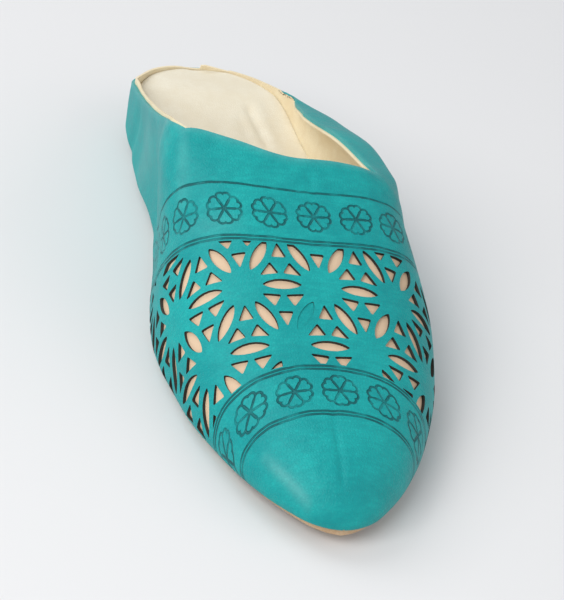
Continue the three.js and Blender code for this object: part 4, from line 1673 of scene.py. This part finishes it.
@dataclass
class SoleOrnament:
    """Traditional tooled ornament of the underside: fronds, crossed daggers, leaves and borders."""

    last: Last
    line_edge: Point = (0.275, 0.935)
    near: float = 2.0
    edge_inset: float = 2.6
    edge_ends: float = 4.0
    edge_points: int = 160
    border: float = 5.0
    scallop: float = 7.5
    scallop_depth: float = 3.4
    scalloped: Point = (6.0, 5.0)
    leaflet: float = 9.0
    leaflet_bow: float = 1.2
    leaflet_lean: Point = (0.75, 0.8)
    leaflet_rows: Point = (0.22, 0.72)
    leaflet_taper: float = 0.65
    blade: float = 2.6
    blade_start: float = 0.12
    ring: float = 3.2
    guard: float = 5.5
    guard_share: float = 0.2
    brick: float = 5.4
    brick_pitch: float = 8.0
    brick_insets: Point = (12.0, 15.2)
    bricked: Point = (150.0, 246.0)

    def _inset(self, y: np.ndarray, sign: int, inset: object) -> np.ndarray:
        """Stroke at stations, set in from one edge of the sole."""
        x = self.last.swing(y) + sign * np.maximum(0, self.last.half_width(y) - inset)
        return np.stack((x, y), axis=-1)

    @staticmethod
    def _lay(foot: Point, tip: Point) -> tuple[np.ndarray, np.ndarray, np.ndarray]:
        """Start and run of a motif, and the unit direction to the right of the run."""
        start, run = np.array(foot), np.array(tip) - np.array(foot)
        return start, run, np.array((run[1], -run[0])) / np.linalg.norm(run)

    def _border(self) -> list[np.ndarray]:
        """Edge line with scallops inside it on both sides.

        Returns:
            Strokes.
        """
        strokes = []
        length, t = self.last.length, np.linspace(0, 1, 7)
        line = np.linspace(self.edge_ends, length - self.edge_ends, self.edge_points)
        depth = self.border + self.scallop_depth * np.sin(math.pi * t)
        for sign in (-1, 1):
            strokes.append(self._inset(line, sign, self.edge_inset))
            for start in np.arange(self.scalloped[0], length - self.scalloped[1], self.scallop):
                strokes.append(self._inset(start + t * self.scallop, sign, depth))
        return strokes

    def _frond(self, foot: Point, tip: Point, bow: float, leaves: int) -> list[np.ndarray]:
        """Bowed stem with paired leaflets.

        Args:
            foot: Start of the stem.
            tip: End of the stem.
            bow: How far the stem bows to its right.
            leaves: Pairs of leaflets.

        Returns:
            Strokes.
        """
        start, run, aside = self._lay(foot, tip)
        forward = run / np.linalg.norm(run)
        t = np.linspace(0, 1, 16)[:, None]
        s = np.linspace(0, 1, 5)[:, None]
        strokes = [start + t * run + aside * bow * np.sin(math.pi * t)]
        for k in range(leaves):
            share = self.leaflet_rows[0] + self.leaflet_rows[1] * k / leaves
            root = start + share * run + aside * bow * math.sin(math.pi * share)
            size = self.leaflet * (1 - self.leaflet_taper * share)
            for way in (-1, 1):
                reach = (forward * self.leaflet_lean[0] + aside * way * self.leaflet_lean[1]) * size
                strokes.append(root + s * reach + aside * way * self.leaflet_bow * np.sin(math.pi * s))
        return strokes

    def _dagger(self, grip: Point, point: Point, bow: float) -> list[np.ndarray]:
        """Curved blade with a ringed grip.

        Args:
            grip: Middle of the ring.
            point: Tip of the blade.
            bow: How far the blade bows to its right.

        Returns:
            Strokes.
        """
        start, run, aside = self._lay(grip, point)
        t = np.linspace(self.blade_start, 1, 18)[:, None]
        spine = start + t * run + aside * bow * np.sin(math.pi * t) ** 1.3
        width = self.blade * (1 - t**2.2)
        turn = np.linspace(0, 2 * math.pi, 15)[:, None]
        ring = start + self.ring * np.concatenate((np.cos(turn), np.sin(turn)), axis=1)
        guard = start + self.guard_share * run
        cross = np.stack((guard - aside * self.guard, guard + aside * self.guard))
        return [spine + aside * width, spine - aside * width, ring, cross]

    def _leaf(self, foot: Point, tip: Point, width: float) -> list[np.ndarray]:
        """Pointed leaf with a midrib.

        Args:
            foot: Start of the leaf.
            tip: End of the leaf.
            width: Half of its width.

        Returns:
            Strokes.
        """
        start, run, aside = self._lay(foot, tip)
        t = np.linspace(0, 1, 13)[:, None]
        swell = aside * width * np.sin(math.pi * t**0.8)
        return [start + t * run + swell, start + t * run - swell, start + t[2:-2] * run]

    def _bricks(self) -> list[np.ndarray]:
        """Rows of short dashes round the heel and the waist.

        Returns:
            Strokes.
        """
        strokes = []
        for row, inset in enumerate(self.brick_insets):
            first = self.bricked[0] + row * self.brick_pitch / 2
            for start in np.arange(first, self.bricked[1], self.brick_pitch):
                y = np.linspace(start, start + self.brick, 4)
                strokes += [self._inset(y, sign, inset) for sign in (-1, 1)]
        return strokes

    def strokes(self) -> list[np.ndarray]:
        """All strokes of the ornament, motif by motif from toe to heel.

        Returns:
            Strokes.
        """
        out = self._border() + self._bricks()
        out += self._frond((4, 62), (2, 14), 0.0, 8)
        out += self._frond((-8, 66), (-16, 26), 4.0, 6) + self._frond((16, 66), (21, 26), -4.0, 6)
        out += self._dagger((-20, 132), (24, 76), 8.0) + self._dagger((28, 132), (-16, 76), -8.0)
        out += self._leaf((4, 128), (4, 104), 5.0) + self._leaf((4, 92), (4, 74), 4.0)
        out += self._leaf((2, 172), (3, 140), 5.5) + self._leaf((2, 176), (1, 206), 5.5)
        out += self._frond((1, 212), (0, 250), 0.0, 5)
        return out

    def press(self, places: np.ndarray) -> np.ndarray:
        """How deep each place of the underside is pressed.

        Args:
            places: Points in the plan.

        Returns:
            Shares from 0 to 1.
        """
        away = np.full(len(places), 1e3)
        for stroke in self.strokes():
            low, high = stroke.min(axis=0) - self.near, stroke.max(axis=0) + self.near
            near = np.flatnonzero(np.all((places > low) & (places < high), axis=1))
            for start, end in zip(stroke[:-1], stroke[1:]):
                away[near] = np.minimum(away[near], beside_run(places[near], start, end)[1])
        return 1 - smoothstep(away, *self.line_edge)


@dataclass(frozen=True)
class SoftLight:
    """Square soft light that faces the shoe, in metres and watts."""

    name: str
    spot: tuple[float, float, float]
    size: float
    power: float
    tint: Colour = (1.0, 1.0, 1.0)
    aim: tuple[float, float, float] = (0.0, 0.0, 0.02)

    def hang(self) -> None:
        """Hangs the light."""
        data = bpy.data.lights.new(self.name, "AREA")
        data.size = self.size
        data.energy = self.power
        data.color = self.tint
        made = bpy.data.objects.new(self.name, data)
        made.location = self.spot
        way = Vector(self.aim) - Vector(self.spot)
        made.rotation_euler = way.to_track_quat("-Z", "Y").to_euler()
        bpy.context.collection.objects.link(made)


@dataclass
class Studio:
    """Pale floor, soft light and the camera at the photograph's angle."""

    distance: float = 0.75
    azimuth: float = -19.8
    elevation: float = 32.9
    roll: float = 13.7
    aim: tuple[float, float, float] = (0.0, -0.020, 0.025)
    shift: Point = (-0.002, -0.008)
    lens: float = 131.0
    sensor: float = 36.0
    clip: Point = (0.01, 50.0)
    floor_half: float = 4.0
    floor_tones: tuple[Colour, Colour] = ((0.74, 0.745, 0.755), (0.765, 0.77, 0.78))
    sky: Colour = (0.97, 0.98, 1.0)
    sky_strength: float = 0.5
    soft_lights: tuple[SoftLight, ...] = (
        SoftLight("key", (-1.0, -0.75, 1.05), 1.0, 17.0, (1.0, 0.99, 0.975)),
        SoftLight("fill", (1.1, -0.6, 0.8), 1.2, 3.0),
        SoftLight("back", (-0.75, 0.9, 1.25), 1.0, 9.0),
    )

    def _axes(self) -> tuple[Vector, Vector, Vector]:
        """Right, up and back directions of the camera.

        Returns:
            Unit vectors.
        """
        az, el, roll = (math.radians(a) for a in (self.azimuth, self.elevation, self.roll))
        back = Vector((math.sin(az) * math.cos(el), -math.cos(az) * math.cos(el), math.sin(el)))
        right = Vector((math.cos(az), math.sin(az), 0))
        up = back.cross(right)
        return (
            math.cos(roll) * right + math.sin(roll) * up,
            -math.sin(roll) * right + math.cos(roll) * up,
            back,
        )

    def camera(self) -> None:
        """Sets the camera."""
        right, up, back = self._axes()
        spot = Vector(self.aim) + right * self.shift[0] + up * self.shift[1] + back * self.distance
        data = bpy.data.cameras.new("camera")
        data.lens = self.lens
        data.sensor_width = self.sensor
        data.clip_start, data.clip_end = self.clip
        made = bpy.data.objects.new("camera", data)
        made.matrix_world = Matrix.Translation(spot) @ Matrix((right, up, back)).transposed().to_4x4()
        bpy.context.collection.objects.link(made)
        bpy.context.scene.camera = made

    def floor(self) -> None:
        """Lays the pale floor."""
        bm = bmesh.new()
        bmesh.ops.create_grid(bm, x_segments=4, y_segments=4, size=self.floor_half)
        mesh = bpy.data.meshes.new("floor")
        bm.to_mesh(mesh)
        bm.free()
        made = bpy.data.materials.new("pale_floor")
        made.use_nodes = True
        nodes = Nodes(made.node_tree)
        place = nodes.add("ShaderNodeTexCoord").outputs["Object"]
        shader = made.node_tree.nodes["Principled BSDF"]
        tones = [(*tone, 1) for tone in self.floor_tones]
        nodes.put(shader.inputs["Base Color"], nodes.mix(nodes.noise(place, 3.0), *tones))
        shader.inputs["Roughness"].default_value = 0.9
        shader.inputs["Specular IOR Level"].default_value = 0.1
        mesh.materials.append(made)
        floor = bpy.data.objects.new("floor", mesh)
        bpy.context.collection.objects.link(floor)

    def lights(self) -> None:
        """Hangs the soft lights and sets the sky."""
        for light in self.soft_lights:
            light.hang()
        world = bpy.data.worlds.new("studio")
        world.use_nodes = True
        sky = world.node_tree.nodes["Background"]
        sky.inputs["Color"].default_value = (*self.sky, 1)
        sky.inputs["Strength"].default_value = self.sky_strength
        bpy.context.scene.world = world
        bpy.context.scene.view_settings.view_transform = "Standard"

    def build(self) -> None:
        """Sets up the whole studio."""
        self.floor()
        self.lights()
        self.camera()


def main() -> None:
    """Builds the slipper piece by piece."""
    logging.basicConfig(level=logging.INFO, format="%(message)s")
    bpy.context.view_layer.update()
    last = Last()
    bench = Workbench(last)
    Studio().build()
    upper = Upper(last, bench)
    pieces = [upper.build_leather(), upper.build_lining()]
    pieces += [Footbed(last, bench).build(), Outsole(last, bench).build()]
    for piece in pieces:
        log.info("%s placed", piece.name)
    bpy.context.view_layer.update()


if __name__ == "__main__":
    main()
